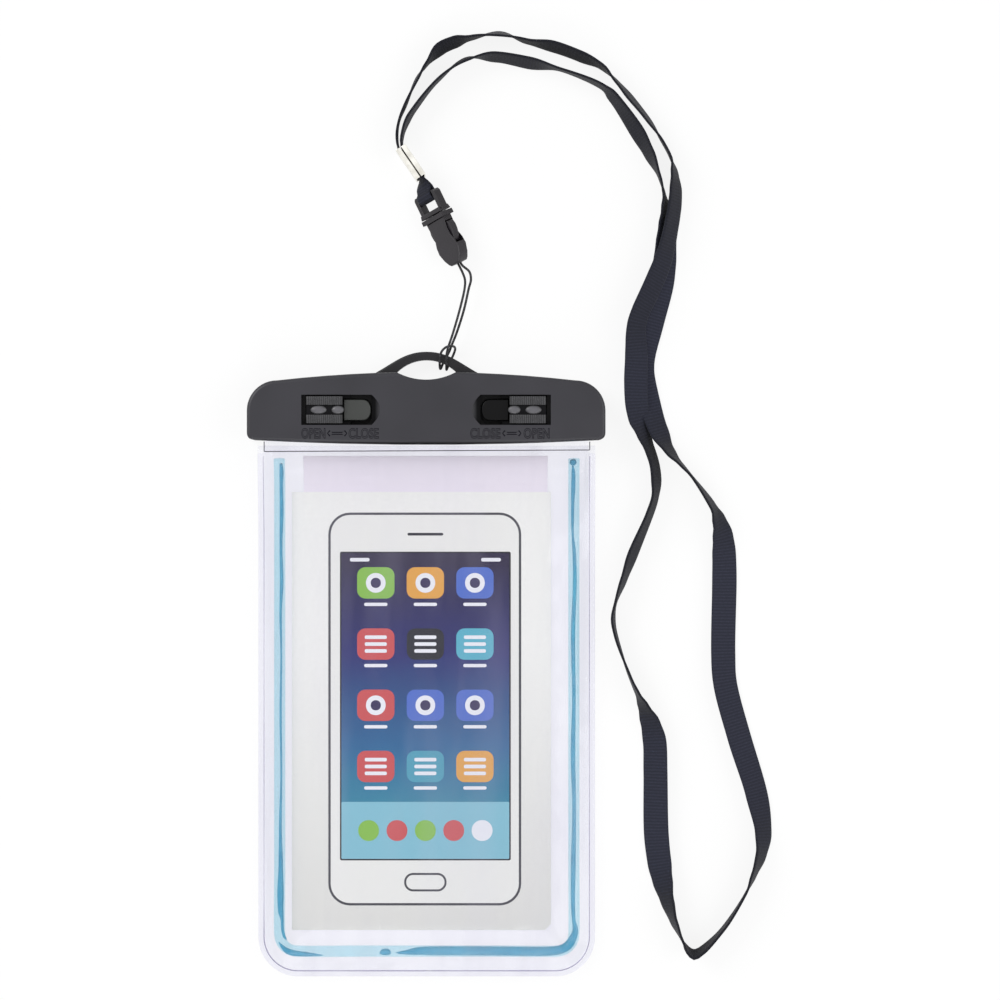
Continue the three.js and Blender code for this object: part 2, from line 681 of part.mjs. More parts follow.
// Socket: two plates joined by the band at the mouth and the closed tip, open at both sides for
// the prongs, with a slot in the tip for the cord.
const plateHalf = socketHalfDepth - 0.35;
const sideLine = [
  [mouthBand / 2, 4.2], [mouthBand, 4.2], [5.5, 3.8], [8, 4], [10, 4.7], [12.4, 4.9], [15.2, 3.9],
  [socketLength - 0.6, 2.7], [socketLength, 1.9],
];
const socketOutline = outline([
  ...sideLine.map(([x, y]) => [x, -y]),
  ...sideLine.slice().reverse(),
]);
const sideOpening = socketLength * 0.64;
const socketInside = plateHalf - socketWall + 0.35;
const cordSlot = cordDiameter / 2 + clearance;
const cordSpread = cordDiameter * 0.65;
const socket = roundedPrism(socketOutline, -0.5, plateHalf, 0.6, 4);
const socketSolid = socket
  .add(socket.mirror([0, 0, 1]))
  .add(solidOf(block(0, mouthBand / 2, -socketHalfWidth, socketHalfWidth, -socketHalfDepth, socketHalfDepth)))
  .subtract(solidOf(block(-1, mouthBand + 0.1, -3.6, 3.6, -socketInside, socketInside)))
  .subtract(solidOf(block(mouthBand, sideOpening, -9, 9, -socketInside, socketInside)))
  .subtract(solidOf(block(socketLength - 3.4, socketLength + 1, -cordSpread - cordSlot, cordSpread + cordSlot,
    -cordSlot, cordSlot)));
place(buckleRoll, "buckle_socket", geometryOf(socketSolid), blackPlastic);

// Plug: shoulder, guide tongue, and the frame whose bar holds the ribbon's loop.
const barRod = new THREE.CylinderGeometry(barRadius, barRadius, 8, 12).translate(-plugBar, 0, 0);
const frameArm = outline([
  [-1, 3.7], [-1, socketHalfWidth], [-plugBar - 0.4, socketHalfWidth], [-plugBar - 1.2, 4.6], [-plugBar - 1.2, 3.7],
]);
const arm = solidOf(prism(frameArm, -1.5, 1.5));
const shoulder = roundedPrism(
  outline([[-1.9, -4.7], [-clearance, -socketHalfWidth], [-clearance, socketHalfWidth], [-1.9, 4.7]]),
  -0.5, socketHalfDepth - 0.15, 0.4, 2,
);
const plug = shoulder
  .add(shoulder.mirror([0, 0, 1]))
  .add(arm)
  .add(arm.mirror([0, 1, 0]))
  .add(solidOf(barRod))
  .add(solidOf(block(-1, 6, -0.55, 0.55, -1.2, 1.2)));
place(buckleRoll, "buckle_plug", geometryOf(plug), blackPlastic);

// Prongs: spring arms whose heads stand out at the socket's sides and are squeezed to let go.
const prongOutline = outline([
  [0, 1.75], [3, 1.95], [6, 2.3], [10.3, 3], [10.6, 3.5], [9.2, 4.3], [7, 4.95], [5.2, 5.1], [3.9, 4.8],
  [mouthBand + clearance, 4.3], [mouthBand + clearance, 2.95], [0, 2.65],
]);
const prong = solidOf(prism(prongOutline, -prongDepth / 2, prongDepth / 2));
place(buckleRoll, "prong_right", geometryOf(prong), blackPlastic);
place(buckleRoll, "prong_left", geometryOf(prong.mirror([0, 1, 0])), blackPlastic);

// Crimp: a folded sheet clip on edge, its lengthwise seam up.
const crimpFoot = new THREE.Vector3(-1.83, 88.97, 5.4);
const crimpHead = new THREE.Vector3(-8.67, 98.93, 5.4);
const crimpAxis = crimpHead.clone().sub(crimpFoot).normalize();
const crimp = new THREE.Group();
crimp.position.copy(crimpFoot).addScaledVector(crimpAxis, crimpLength / 2);
crimp.rotation.z = Math.atan2(crimpAxis.y, crimpAxis.x);
pouch.add(crimp);
const crimpInner = crimpThickness / 2 - crimpSheet;
const crimpBody = solidOf(block(-crimpLength / 2, crimpLength / 2, -crimpThickness / 2, crimpThickness / 2,
  -crimpWidth / 2, crimpWidth / 2))
  .subtract(solidOf(block(-crimpLength, crimpLength, -crimpInner, crimpInner,
    -crimpWidth / 2 + crimpSheet, crimpWidth / 2 - crimpSheet)))
  .subtract(solidOf(block(-crimpLength, crimpLength, -0.2, 0.2, 0, crimpWidth)));
place(crimp, "crimp", geometryOf(crimpBody), brightSteel);

// Ribbon loop from the crimp round the plug's bar, turning from on edge to the buckle's roll.
const barCentre = new THREE.Vector3(-plugBar, 0, 0).applyMatrix4(buckleFrame);
const barAcross = new THREE.Vector3(0, 1, 0).transformDirection(buckleFrame);
const upright = new THREE.Vector3(0, 0, 1);
const toBar = barCentre.clone().sub(crimpFoot);
const loopAhead = toBar.clone().setZ(0).normalize();
const loopEnd = barCentre.clone().addScaledVector(loopAhead, -barRadius - 0.75);
const loopStart = crimpFoot.clone().addScaledVector(crimpAxis, 4);
const loopSections = [
  bandSection(loopStart, upright, crimpAxis.clone().negate(), ribbonWidth - 0.4, loopThickness),
  ...[0, 0.33, 0.66, 1].map((t) => {
    const centre = crimpFoot.clone().lerp(loopEnd, t);
    const across = upright.clone().lerp(barAcross, t).normalize();
    return bandSection(centre, across, loopAhead, mix(ribbonWidth - 0.4, loopWidth, t), loopThickness);
  }),
];
const ringOuter = new THREE.CylinderGeometry(barRadius + 1.15, barRadius + 1.15, loopWidth, 16);
const ringInner = new THREE.CylinderGeometry(barRadius + 0.35, barRadius + 0.35, loopWidth + 1, 16);
const barRing = solidOf(ringOuter.translate(-plugBar, 0, 0).applyMatrix4(buckleFrame))
  .add(solidOf(loft(loopSections)))
  .subtract(solidOf(ringInner.translate(-plugBar, 0, 0).applyMatrix4(buckleFrame)));
place(pouch, "strap_bar_loop", geometryOf(barRing), navyRibbon);

// Neck ribbon: one woven band from the crimp, round the neck and back into the crimp. Each row is
// x and y, the tilt of the band's width from level in degrees, and how far it is lifted where it
// crosses itself. Its lower edge rests on the surface.
const ribbonCourse = [
  [-6.4, 94.5, 90, 0.8], [-9.2, 98.6, 90, 0.8], [-9.9, 102.8, 90, 0.3], [-9.2, 108.2, 88, 0.0],
  [-7.2, 113.2, 90, 0.0], [-3.0, 122.5, 82, 0.0], [-0.2, 126.9, 90, 0.0], [4.5, 132.2, 110, 0.0],
  [9.5, 134.5, 108, 0.0], [14.5, 135.8, 92, 0.0], [24.5, 137.2, 75, 0.0], [33.5, 134.7, 92, 0.0],
  [42.5, 132.9, 106, 0.0], [51.8, 129.5, 105, 0.0], [58.6, 126.2, 94, 0.0], [63.5, 121.2, 80, 0.0],
  [67.8, 116.2, 74, 0.0], [73.6, 109.0, 77, 0.0], [78.8, 101.2, 88, 0.0], [81.7, 95.5, 88, 0.0],
  [82.8, 90.8, 74, 0.0], [83.2, 84.8, 63, 0.5], [82.8, 79.5, 60, 1.0], [81.8, 73.5, 58, 1.6],
  [80.5, 67.2, 55, 2.0], [78.8, 61.2, 48, 2.4], [76.5, 55.5, 46, 2.7], [73.8, 49.5, 46, 3.1],
  [71.3, 44.2, 48, 3.2], [70.0, 39.8, 46, 3.1], [69.8, 34.8, 40, 2.9], [70.0, 29.5, 32, 2.8],
  [69.8, 21.5, 29, 3.2], [70.0, 14.2, 31, 3.6], [70.8, 8.8, 38, 3.2], [72.3, 4.5, 54, 2.4],
  [74.2, -0.8, 68, 1.2], [76.0, -6.2, 69, 0.3], [76.7, -11.8, 68, 0.0], [76.3, -17.5, 75, 0.0],
  [74.5, -23.2, 74, 0.0], [68.8, -36.8, 68, 0.0], [65.8, -45.2, 76, 0.0], [63.0, -53.2, 86, 0.0],
  [62.3, -58.2, 82, 0.0], [63.2, -63.8, 84, 0.0], [68.2, -78.2, 92, 0.0], [70.5, -83.2, 96, 0.0],
  [72.5, -87.5, 110, 0.0], [74.7, -92.8, 132, 0.0], [76.2, -99.2, 148, 0.0], [76.5, -109.2, 150, 0.0],
  [76.8, -130.2, 155, 0.0], [77.8, -139.5, 151, 0.0], [78.8, -145.5, 136, 0.0], [80.3, -152.2, 117, 0.0],
  [82.5, -159.2, 103, 0.0], [85.2, -165.2, 92, 0.0], [87.2, -168.8, 82, 0.0], [89.2, -170.3, 76, 0.0],
  [91.5, -169.3, 82, 0.0], [99.0, -161.8, 90, 0.0], [106.7, -149.8, 95, 0.0], [109.3, -143.8, 105, 0.0],
  [111.7, -137.2, 116, 0.0], [112.5, -129.8, 129, 0.0], [110.2, -116.5, 146, 0.0], [104.5, -97.8, 153, 0.0],
  [99.8, -79.8, 154, 0.0], [99.2, -70.2, 157, 0.0], [99.6, -45.8, 159, 0.0], [99.5, -37.2, 155, 0.0],
  [99.0, -30.8, 142, 0.0], [97.7, -25.5, 122, 0.0], [95.7, -20.8, 105, 0.0], [88.2, -10.2, 94, 0.0],
  [84.7, -6.3, 98, 0.0], [81.0, -1.8, 112, 0.0], [77.5, 4.8, 135, 0.0], [72.7, 19.8, 160, 0.0],
  [72.0, 27.5, 162, 0.0], [75.2, 40.8, 160, 0.0], [78.5, 53.2, 156, 0.0], [79.5, 60.2, 151, 0.0],
  [80.0, 67.2, 141, 0.0], [80.2, 73.5, 128, 0.0], [80.0, 78.8, 112, 0.0], [79.3, 83.8, 96, 0.0],
  [77.8, 89.5, 90, 0.0], [74.2, 97.5, 72, 0.0], [70.5, 104.2, 64, 0.0], [62.2, 116.2, 74, 0.0],
  [58.8, 119.5, 86, 0.0], [45.0, 125.2, 92, 0.0], [34.2, 127.5, 72, 0.0], [22.8, 129.5, 76, 0.0],
  [13.2, 128.7, 102, 0.0], [3.8, 121.8, 90, 0.0], [-3.8, 112.5, 86, 0.0], [-6.3, 108.5, 84, 0.0],
  [-8.0, 103.8, 88, 0.3], [-8.2, 99.3, 90, 0.8], [-5.3, 95.2, 90, 0.8],
];
const ribbonPoints = ribbonCourse.map(([x, y, tilt, lift]) => {
  const angle = THREE.MathUtils.degToRad(tilt);
  const rise = (ribbonWidth * Math.sin(angle) + ribbonThickness * Math.abs(Math.cos(angle))) / 2;
  return new THREE.Vector3(x, y, rise + lift + 0.1);
});
const ribbonSections = ribbonPoints.map((point, i) => {
  const before = ribbonPoints[Math.max(i - 1, 0)];
  const after = ribbonPoints[Math.min(i + 1, ribbonPoints.length - 1)];
  const ahead = after.clone().sub(before).normalize();
  const right = new THREE.Vector3(ahead.y, -ahead.x, 0).normalize();
  const angle = THREE.MathUtils.degToRad(ribbonCourse[i][2]);
  const across = right.multiplyScalar(Math.cos(angle)).addScaledVector(upright, Math.sin(angle));
  across.addScaledVector(ahead, -across.dot(ahead)).normalize();
  return bandSection(point, across, ahead, ribbonWidth, ribbonThickness);
});
place(pouch, "neck_strap", loft(ribbonSections), navyRibbon);

// Tether cord: both ends in the socket's tip, hitched round the arch in front and behind.
const cordRadius = cordDiameter / 2;
const frontOfArch = archLift + archThickness + clearance + cordRadius;
const behindArch = cordRadius + 0.35;
const cordEnd = (side) => new THREE.Vector3(socketLength - 2, side * cordSpread, 0).applyMatrix4(buckleFrame);
const cordExit = (side) => new THREE.Vector3(socketLength + 1, side * cordSpread, 0).applyMatrix4(buckleFrame);
const tetherCourse = [
  cordEnd(-1), cordExit(-1),
  ...[
    [12.0, 57.4, 5.2], [12.8, 55, 5], [12.7, 52.2, 5.2], [11.0, 44.8, 5.7], [8.6, 36.5, 6.2],
    [7.2, 32.3, frontOfArch + 0.2], [6.7, 30, frontOfArch + 0.1], [6.6, 28, frontOfArch], [6.6, 26, frontOfArch - 0.6],
    [6.6, 25.1, 3.7], [6.8, 25.5, 1.3], [7.4, 27, behindArch], [8.6, 29.5, behindArch], [9.3, 31.2, 1.5],
    [9.5, 32.2, 3.6], [9.1, 32.7, 5.8], [8.0, 32.8, 7.8], [6.6, 32.4, 8.4], [5.3, 31.3, 7.9], [4.6, 29.8, 7.1],
    [4.4, 28.1, frontOfArch], [4.4, 26.3, 5.9], [4.5, 25.4, 3.7], [4.8, 25.7, 1.4], [5.3, 27, behindArch],
    [6.6, 29.5, behindArch], [7.6, 31.4, 1.5], [8.3, 33.2, 2.9], [9.9, 37, 4.4], [12.4, 44.8, 4.7],
    [14.1, 52.2, 5.3], [14.8, 55, 5.8], [14.3, 57.6, 6.4],
  ].map(([x, y, z]) => new THREE.Vector3(x, y, z)),
  cordExit(1), cordEnd(1),
];
const tetherRoute = new THREE.CatmullRomCurve3(tetherCourse, false, "centripetal");
place(
  pouch,
  "tether_cord",
  new THREE.ExtrudeGeometry(circle(cordRadius, 8), { steps: 80, extrudePath: tetherRoute }),
  blackCord,
);

export default pouch;
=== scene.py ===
import math

import bmesh
import bpy
from mathutils import Matrix, Vector


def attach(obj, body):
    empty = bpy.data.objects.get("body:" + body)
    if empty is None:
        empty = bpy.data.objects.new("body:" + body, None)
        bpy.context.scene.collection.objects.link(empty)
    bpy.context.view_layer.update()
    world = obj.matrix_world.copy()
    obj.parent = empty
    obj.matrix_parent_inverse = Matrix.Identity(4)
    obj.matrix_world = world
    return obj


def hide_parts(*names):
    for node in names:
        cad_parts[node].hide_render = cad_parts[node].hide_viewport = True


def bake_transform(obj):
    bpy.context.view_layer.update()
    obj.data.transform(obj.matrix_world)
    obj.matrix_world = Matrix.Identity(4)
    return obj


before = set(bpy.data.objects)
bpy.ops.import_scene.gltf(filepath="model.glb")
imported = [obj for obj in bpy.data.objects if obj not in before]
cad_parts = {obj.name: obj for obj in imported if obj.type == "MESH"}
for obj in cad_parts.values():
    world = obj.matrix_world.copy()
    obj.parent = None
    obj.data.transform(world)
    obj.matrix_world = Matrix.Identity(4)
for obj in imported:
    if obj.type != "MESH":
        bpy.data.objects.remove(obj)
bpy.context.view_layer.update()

# Studio. The pouch lies on its back on a pale table and is seen from straight above, so the
# camera looks down on the middle of the picture. One large soft lamp stands at the upper left,
# and weaker ones at the right and beyond the foot.
MM = 0.001
POUCH_Y = 73.4
CAMERA_HEIGHT = 1207
PICTURE_WIDTH = 333.3


def at(x, y, z=0.0):
    """A point in millimetres from the middle of the clamp's lower edge, in the frame's metres."""
    return Vector((x * MM, (y + POUCH_Y) * MM, z * MM))


def srgb(code):
    """A colour written as #rrggbb, as linear light."""
    parts = [int(code[i:i + 2], 16) / 255 for i in (1, 3, 5)]
    return tuple(c / 12.92 if c <= 0.04045 else ((c + 0.055) / 1.055) ** 2.4 for c in parts) + (1.0,)


def feed(node, sockets):
    """Sets a node's inputs to values, or links them to a socket or to a node's first output."""
    for name, value in sockets.items():
        if isinstance(value, bpy.types.Node):
            value = value.outputs[0]
        if isinstance(value, bpy.types.NodeSocket):
            node.id_data.links.new(value, node.inputs[name])
        else:
            node.inputs[name].default_value = value


def add(tree, kind, sockets=None, stops=None, **settings):
    """Adds a node with its settings, sockets and ramp stops. A shader node's prefix can be left out."""
    made = tree.nodes.new(kind if "Node" in kind else "ShaderNode" + kind)
    for name, value in settings.items():
        setattr(made, name, value)
    feed(made, sockets or {})
    if stops:
        ramp = made.color_ramp
        while len(ramp.elements) < len(stops):
            ramp.elements.new(0.5)
        for element, (place, colour) in zip(ramp.elements, stops):
            element.position = place
            element.color = srgb(colour)
    return made


def blank_finish(name):
    """A material and its empty tree."""
    made = bpy.data.materials.new(name)
    made.use_nodes = True
    made.node_tree.nodes.clear()
    return made, made.node_tree


def new_finish(name, **sockets):
    """A material with one Principled shader, and its tree."""
    made, tree = blank_finish(name)
    shader = add(tree, "BsdfPrincipled", {k.replace("_", " "): v for k, v in sockets.items()})
    add(tree, "OutputMaterial", {"Surface": shader})
    return made, tree, shader


def show(made):
    """Puts an object in the scene and gives it back."""
    bpy.context.scene.collection.objects.link(made)
    return made


def in_view(tree):
    """1 on a ray that the camera sees, also by way of a gloss or a clear piece, and 0 on light's own."""
    rays = add(tree, "LightPath")
    straight = add(tree, "Math", {0: rays.outputs["Is Camera Ray"], 1: rays.outputs["Is Glossy Ray"]},
                   operation="MAXIMUM")
    return add(tree, "Math", {0: straight, 1: rays.outputs["Is Transmission Ray"]},
               operation="MAXIMUM").outputs[0]


camera = show(bpy.data.objects.new("camera", bpy.data.cameras.new("camera")))
camera.data.sensor_width = 36
camera.data.lens = 36 * (CAMERA_HEIGHT - 7) / PICTURE_WIDTH
camera.data.clip_start = 0.1
camera.data.clip_end = 20
camera.location = at(24.5, -18.5, CAMERA_HEIGHT)
bpy.context.scene.camera = camera

for name, place, size, power in (
    ("lamp_upper_left", at(-1050, 700, 1050), 0.9, 13),
    ("lamp_right", at(1150, -120, 950), 1.0, 6.5),
    ("lamp_foot", at(60, -1150, 900), 0.9, 5),
):
    lamp = bpy.data.lights.new(name, "AREA")
    lamp.shape = "SQUARE"
    lamp.size = size
    lamp.energy = power
    stand = show(bpy.data.objects.new(name, lamp))
    stand.location = place
    stand.rotation_euler = (at(20, -20) - place).to_track_quat("-Z", "Y").to_euler()

world = bpy.data.worlds.new("studio")
world.use_nodes = True
bpy.context.scene.world = world
sky = world.node_tree
sky.nodes.clear()
level = add(sky, "MapRange", {"Value": in_view(sky), "To Min": 0.5, "To Max": 1.0})
backdrop = add(sky, "Background", {"Color": (1, 1, 1, 1), "Strength": level})
add(sky, "OutputWorld", {"Surface": backdrop})

# Table top: white laminate, matt and lit from below for the most part, so that only faint shadows
# show on it and the clear pieces look bright.
GLOW_SHARE = 0.87
TABLE_DROP = 0.0001
laminate, tree, shader = new_finish("white matt laminate", Roughness=0.9)
grain = add(tree, "TexNoise", {"Scale": 60.0, "Detail": 2.0})
tone = add(tree, "ValToRGB", {"Fac": grain}, stops=[(0.3, "#fbfbfb"), (0.7, "#ffffff")])
feed(shader, {"Base Color": tone})
glow = add(tree, "Emission", {"Color": (1, 1, 1, 1), "Strength": 1.0})
share = add(tree, "Math", {0: in_view(tree), 1: GLOW_SHARE}, operation="MULTIPLY")
whole = add(tree, "MixShader", {"Fac": share, 1: shader, 2: glow})
feed(tree.nodes["Material Output"], {"Surface": whole})
top = bpy.data.meshes.new("table_top")
top.from_pydata([(x, y, -TABLE_DROP) for x, y in ((-3, -3), (3, -3), (3, 3), (-3, 3))], [], [(0, 1, 2, 3)])
top.materials.append(laminate)
table_top = show(bpy.data.objects.new("table_top", top))

# Tether: thin round cord, braided in black polyester. Both ends are held in the socket's tip, and
# the bight is hitched round the arch.
CORD_WIDTH = 1.0
CORD_DRAWN = 0.82
BUCKLE_PLACE = (3.33, 76.5, 5.8)
BUCKLE_TURN = math.radians(-64.4)
BUCKLE_ROLL = math.radians(45)
SOCKET_TIP = 17.6


def in_buckle(u, v, w):
    """A point in the buckle's own millimetres: along it, across it and through it."""
    turned = Matrix.Rotation(BUCKLE_TURN, 3, "Z") @ Matrix.Rotation(BUCKLE_ROLL, 3, "X") @ Vector((u, v, w))
    return turned + Vector(BUCKLE_PLACE)


def smooth_path(points, spacing):
    """Points along one smooth curve through the given ones, about a spacing apart."""
    ends = [2 * points[0] - points[1]] + list(points) + [2 * points[-1] - points[-2]]
    path = []
    for p0, p1, p2, p3 in zip(ends, ends[1:], ends[2:], ends[3:]):
        t1 = max((p1 - p0).length, 1e-9) ** 0.5
        t2 = t1 + max((p2 - p1).length, 1e-9) ** 0.5
        t3 = t2 + max((p3 - p2).length, 1e-9) ** 0.5
        steps = max(1, round((p2 - p1).length / spacing))
        for k in range(steps):
            t = t1 + (t2 - t1) * k / steps
            a = p0.lerp(p1, t / t1)
            b = p1.lerp(p2, (t - t1) / (t2 - t1))
            c = p2.lerp(p3, (t - t2) / (t3 - t2))
            d = a.lerp(b, t / t2)
            e = b.lerp(c, (t - t1) / (t3 - t1))
            path.append(d.lerp(e, (t - t1) / (t2 - t1)))
    return path + [points[-1]]


def new_piece(name, points, faces, finish, uvs=None, smooth=True):
    """A closed mesh object at the origin. Points are in metres, uvs are per point in metres."""
    mesh = bpy.data.meshes.new(name)
    mesh.from_pydata([tuple(p) for p in points], [], faces)
    mesh.materials.append(finish)
    if smooth:
        mesh.polygons.foreach_set("use_smooth", [True] * len(mesh.polygons))
    if uvs:
        layer = mesh.uv_layers.new(name="cut")
        for loop in mesh.loops:
            layer.data[loop.index].uv = uvs[loop.vertex_index]
    mesh.update()
    return show(bpy.data.objects.new(name, mesh))


def round_rod(name, path, radius, sides, finish):
    """A round rod along a path, with closed ends and its length and girth as uv, in metres.
    The radius is one number, or one for each point of the path."""
    radii = radius if isinstance(radius, list) else [radius] * len(path)
    points, faces, uvs = [], [], []
    ahead = (path[1] - path[0]).normalized()
    side = ahead.orthogonal().normalized()
    run = 0.0
    for i, centre in enumerate(path):
        ahead = (path[min(i + 1, len(path) - 1)] - path[max(i - 1, 0)]).normalized()
        side = (side - ahead * side.dot(ahead)).normalized()
        other = ahead.cross(side)
        run += (centre - path[i - 1]).length if i else 0.0
        for k in range(sides):
            a = 2 * math.pi * k / sides
            points.append(centre + (side * math.cos(a) + other * math.sin(a)) * radii[i])
            uvs.append((run, a * radii[i]))
    for i in range(len(path) - 1):
        for k in range(sides):
            a, b = i * sides + k, i * sides + (k + 1) % sides
            faces.append((a, b, b + sides, a + sides))
    last = (len(path) - 1) * sides
    faces.append(tuple(range(sides - 1, -1, -1)))
    faces.append(tuple(range(last, last + sides)))
    return new_piece(name, points, faces, finish, uvs)


# Braided polyester: matt, with the slanted plaits of a 16-strand braid, drawn at 0.8 mm, about
# twice as coarse as they are, so that they show.
braid, tree, shader = new_finish("black polyester braid", Roughness=0.75, Sheen_Weight=0.15)
place = add(tree, "UVMap", uv_map="cut")
turn = add(tree, "Mapping", {"Vector": place, "Rotation": (0, 0, 0.7)})
plait = add(tree, "TexWave", {"Vector": turn, "Scale": 200.0, "Distortion": 1.0})
back_turn = add(tree, "Mapping", {"Vector": place, "Rotation": (0, 0, -0.7)})
counter = add(tree, "TexWave", {"Vector": back_turn, "Scale": 200.0, "Distortion": 1.0})
cross = add(tree, "Math", {0: plait.outputs["Fac"], 1: counter.outputs["Fac"]}, operation="MULTIPLY")
tone = add(tree, "ValToRGB", {"Fac": cross}, stops=[(0.1, "#121214"), (0.9, "#3a3a40")])
bump = add(tree, "Bump", {"Height": cross, "Strength": 0.6, "Distance": 0.0001})
feed(shader, {"Base Color": tone, "Normal": bump})

tether_points = [in_buckle(SOCKET_TIP - 2, -0.65, 0), in_buckle(SOCKET_TIP + 1, -0.65, 0)] + [
    Vector(p) for p in (
        (12.0, 57.4, 5.2), (12.8, 55, 5), (12.7, 52.2, 5.2), (11.0, 44.8, 5.7), (8.6, 36.5, 6.2),
        (7.2, 32.3, 6.7), (6.7, 30, 6.6), (6.6, 28, 6.5), (6.6, 26, 5.9), (6.6, 25.1, 3.7),
        (6.8, 25.5, 1.3), (7.4, 27, 0.85), (8.6, 29.5, 0.85), (9.3, 31.2, 1.5), (9.5, 32.2, 3.6),
        (9.1, 32.7, 5.8), (8.0, 32.8, 7.8), (6.6, 32.4, 8.4), (5.3, 31.3, 7.9), (4.6, 29.8, 7.1),
        (4.4, 28.1, 6.5), (4.4, 26.3, 5.9), (4.5, 25.4, 3.7), (4.8, 25.7, 1.4), (5.3, 27, 0.85),
        (6.6, 29.5, 0.85), (7.6, 31.4, 1.5), (8.3, 33.2, 2.9), (9.9, 37, 4.4), (12.4, 44.8, 4.7),
        (14.1, 52.2, 5.3), (14.8, 55, 5.8), (14.3, 57.6, 6.4),
    )
] + [in_buckle(SOCKET_TIP + 1, 0.65, 0), in_buckle(SOCKET_TIP - 2, 0.65, 0)]
tether_path = [at(*p) for p in smooth_path(tether_points, 0.4)]
tether = round_rod("tether", tether_path, CORD_DRAWN * CORD_WIDTH * MM / 2, 12, braid)
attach(tether, "pouch")
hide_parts("tether_cord")

# Neck ribbon: one woven polyester band, navy black, folded into the crimp at both ends. It stands
# and leans on its edge as it was dropped, and passes once over itself beside the clamp.
RIBBON_WIDTH = 9.0
RIBBON_THICKNESS = 0.8
RIBBON_STEP = 1.3
ribbon_course = (
    (-6.4, 94.5, 90, 0.8), (-9.2, 98.6, 90, 0.8), (-9.9, 102.8, 90, 0.3), (-9.2, 108.2, 88),
    (-7.2, 113.2, 90), (-3.0, 122.5, 82), (-0.2, 126.9, 90), (4.5, 132.2, 110),
    (9.5, 134.5, 108), (14.5, 135.8, 92), (24.5, 137.2, 75), (33.5, 134.7, 92),
    (42.5, 132.9, 106), (51.8, 129.5, 105), (58.6, 126.2, 94), (63.5, 121.2, 80),
    (67.8, 116.2, 74), (73.6, 109.0, 77), (78.8, 101.2, 88), (81.7, 95.5, 88),
    (82.8, 90.8, 74), (83.2, 84.8, 63, 0.5), (82.8, 79.5, 60, 1.0), (81.8, 73.5, 58, 1.6),
    (80.5, 67.2, 55, 2.0), (78.8, 61.2, 48, 2.4), (76.5, 55.5, 46, 2.7), (73.8, 49.5, 46, 3.1),
    (71.3, 44.2, 48, 3.2), (70.0, 39.8, 46, 3.1), (69.8, 34.8, 40, 2.9), (70.0, 29.5, 32, 2.8),
    (69.8, 21.5, 29, 3.2), (70.0, 14.2, 31, 3.6), (70.8, 8.8, 38, 3.2), (72.3, 4.5, 54, 2.4),
    (74.2, -0.8, 68, 1.2), (76.0, -6.2, 69, 0.3), (76.7, -11.8, 68), (76.3, -17.5, 75),
    (74.5, -23.2, 74), (68.8, -36.8, 68), (65.8, -45.2, 76), (63.0, -53.2, 86),
    (62.3, -58.2, 82), (63.2, -63.8, 84), (68.2, -78.2, 92), (70.5, -83.2, 96),
    (72.5, -87.5, 110), (74.7, -92.8, 132), (76.2, -99.2, 148), (76.5, -109.2, 150),
    (76.8, -130.2, 155), (77.8, -139.5, 151), (78.8, -145.5, 136), (80.3, -152.2, 117),
    (82.5, -159.2, 103), (85.2, -165.2, 92), (87.2, -168.8, 82), (89.2, -170.3, 76),
    (91.5, -169.3, 82), (99.0, -161.8, 90), (106.7, -149.8, 95), (109.3, -143.8, 105),
    (111.7, -137.2, 116), (112.5, -129.8, 129), (110.2, -116.5, 146), (104.5, -97.8, 153),
    (99.8, -79.8, 154), (99.2, -70.2, 157), (99.6, -45.8, 159), (99.5, -37.2, 155),
    (99.0, -30.8, 142), (97.7, -25.5, 122), (95.7, -20.8, 105), (88.2, -10.2, 94),
    (84.7, -6.3, 98), (81.0, -1.8, 112), (77.5, 4.8, 135), (72.7, 19.8, 160),
    (72.0, 27.5, 162), (75.2, 40.8, 160), (78.5, 53.2, 156), (79.5, 60.2, 151),
    (80.0, 67.2, 141), (80.2, 73.5, 128), (80.0, 78.8, 112), (79.3, 83.8, 96),
    (77.8, 89.5, 90), (74.2, 97.5, 72), (70.5, 104.2, 64), (62.2, 116.2, 74),
    (58.8, 119.5, 86), (45.0, 125.2, 92), (34.2, 127.5, 72), (22.8, 129.5, 76),
    (13.2, 128.7, 102), (3.8, 121.8, 90), (-3.8, 112.5, 86), (-6.3, 108.5, 84),
    (-8.0, 103.8, 88, 0.3), (-8.2, 99.3, 90, 0.8), (-5.3, 95.2, 90, 0.8),
)


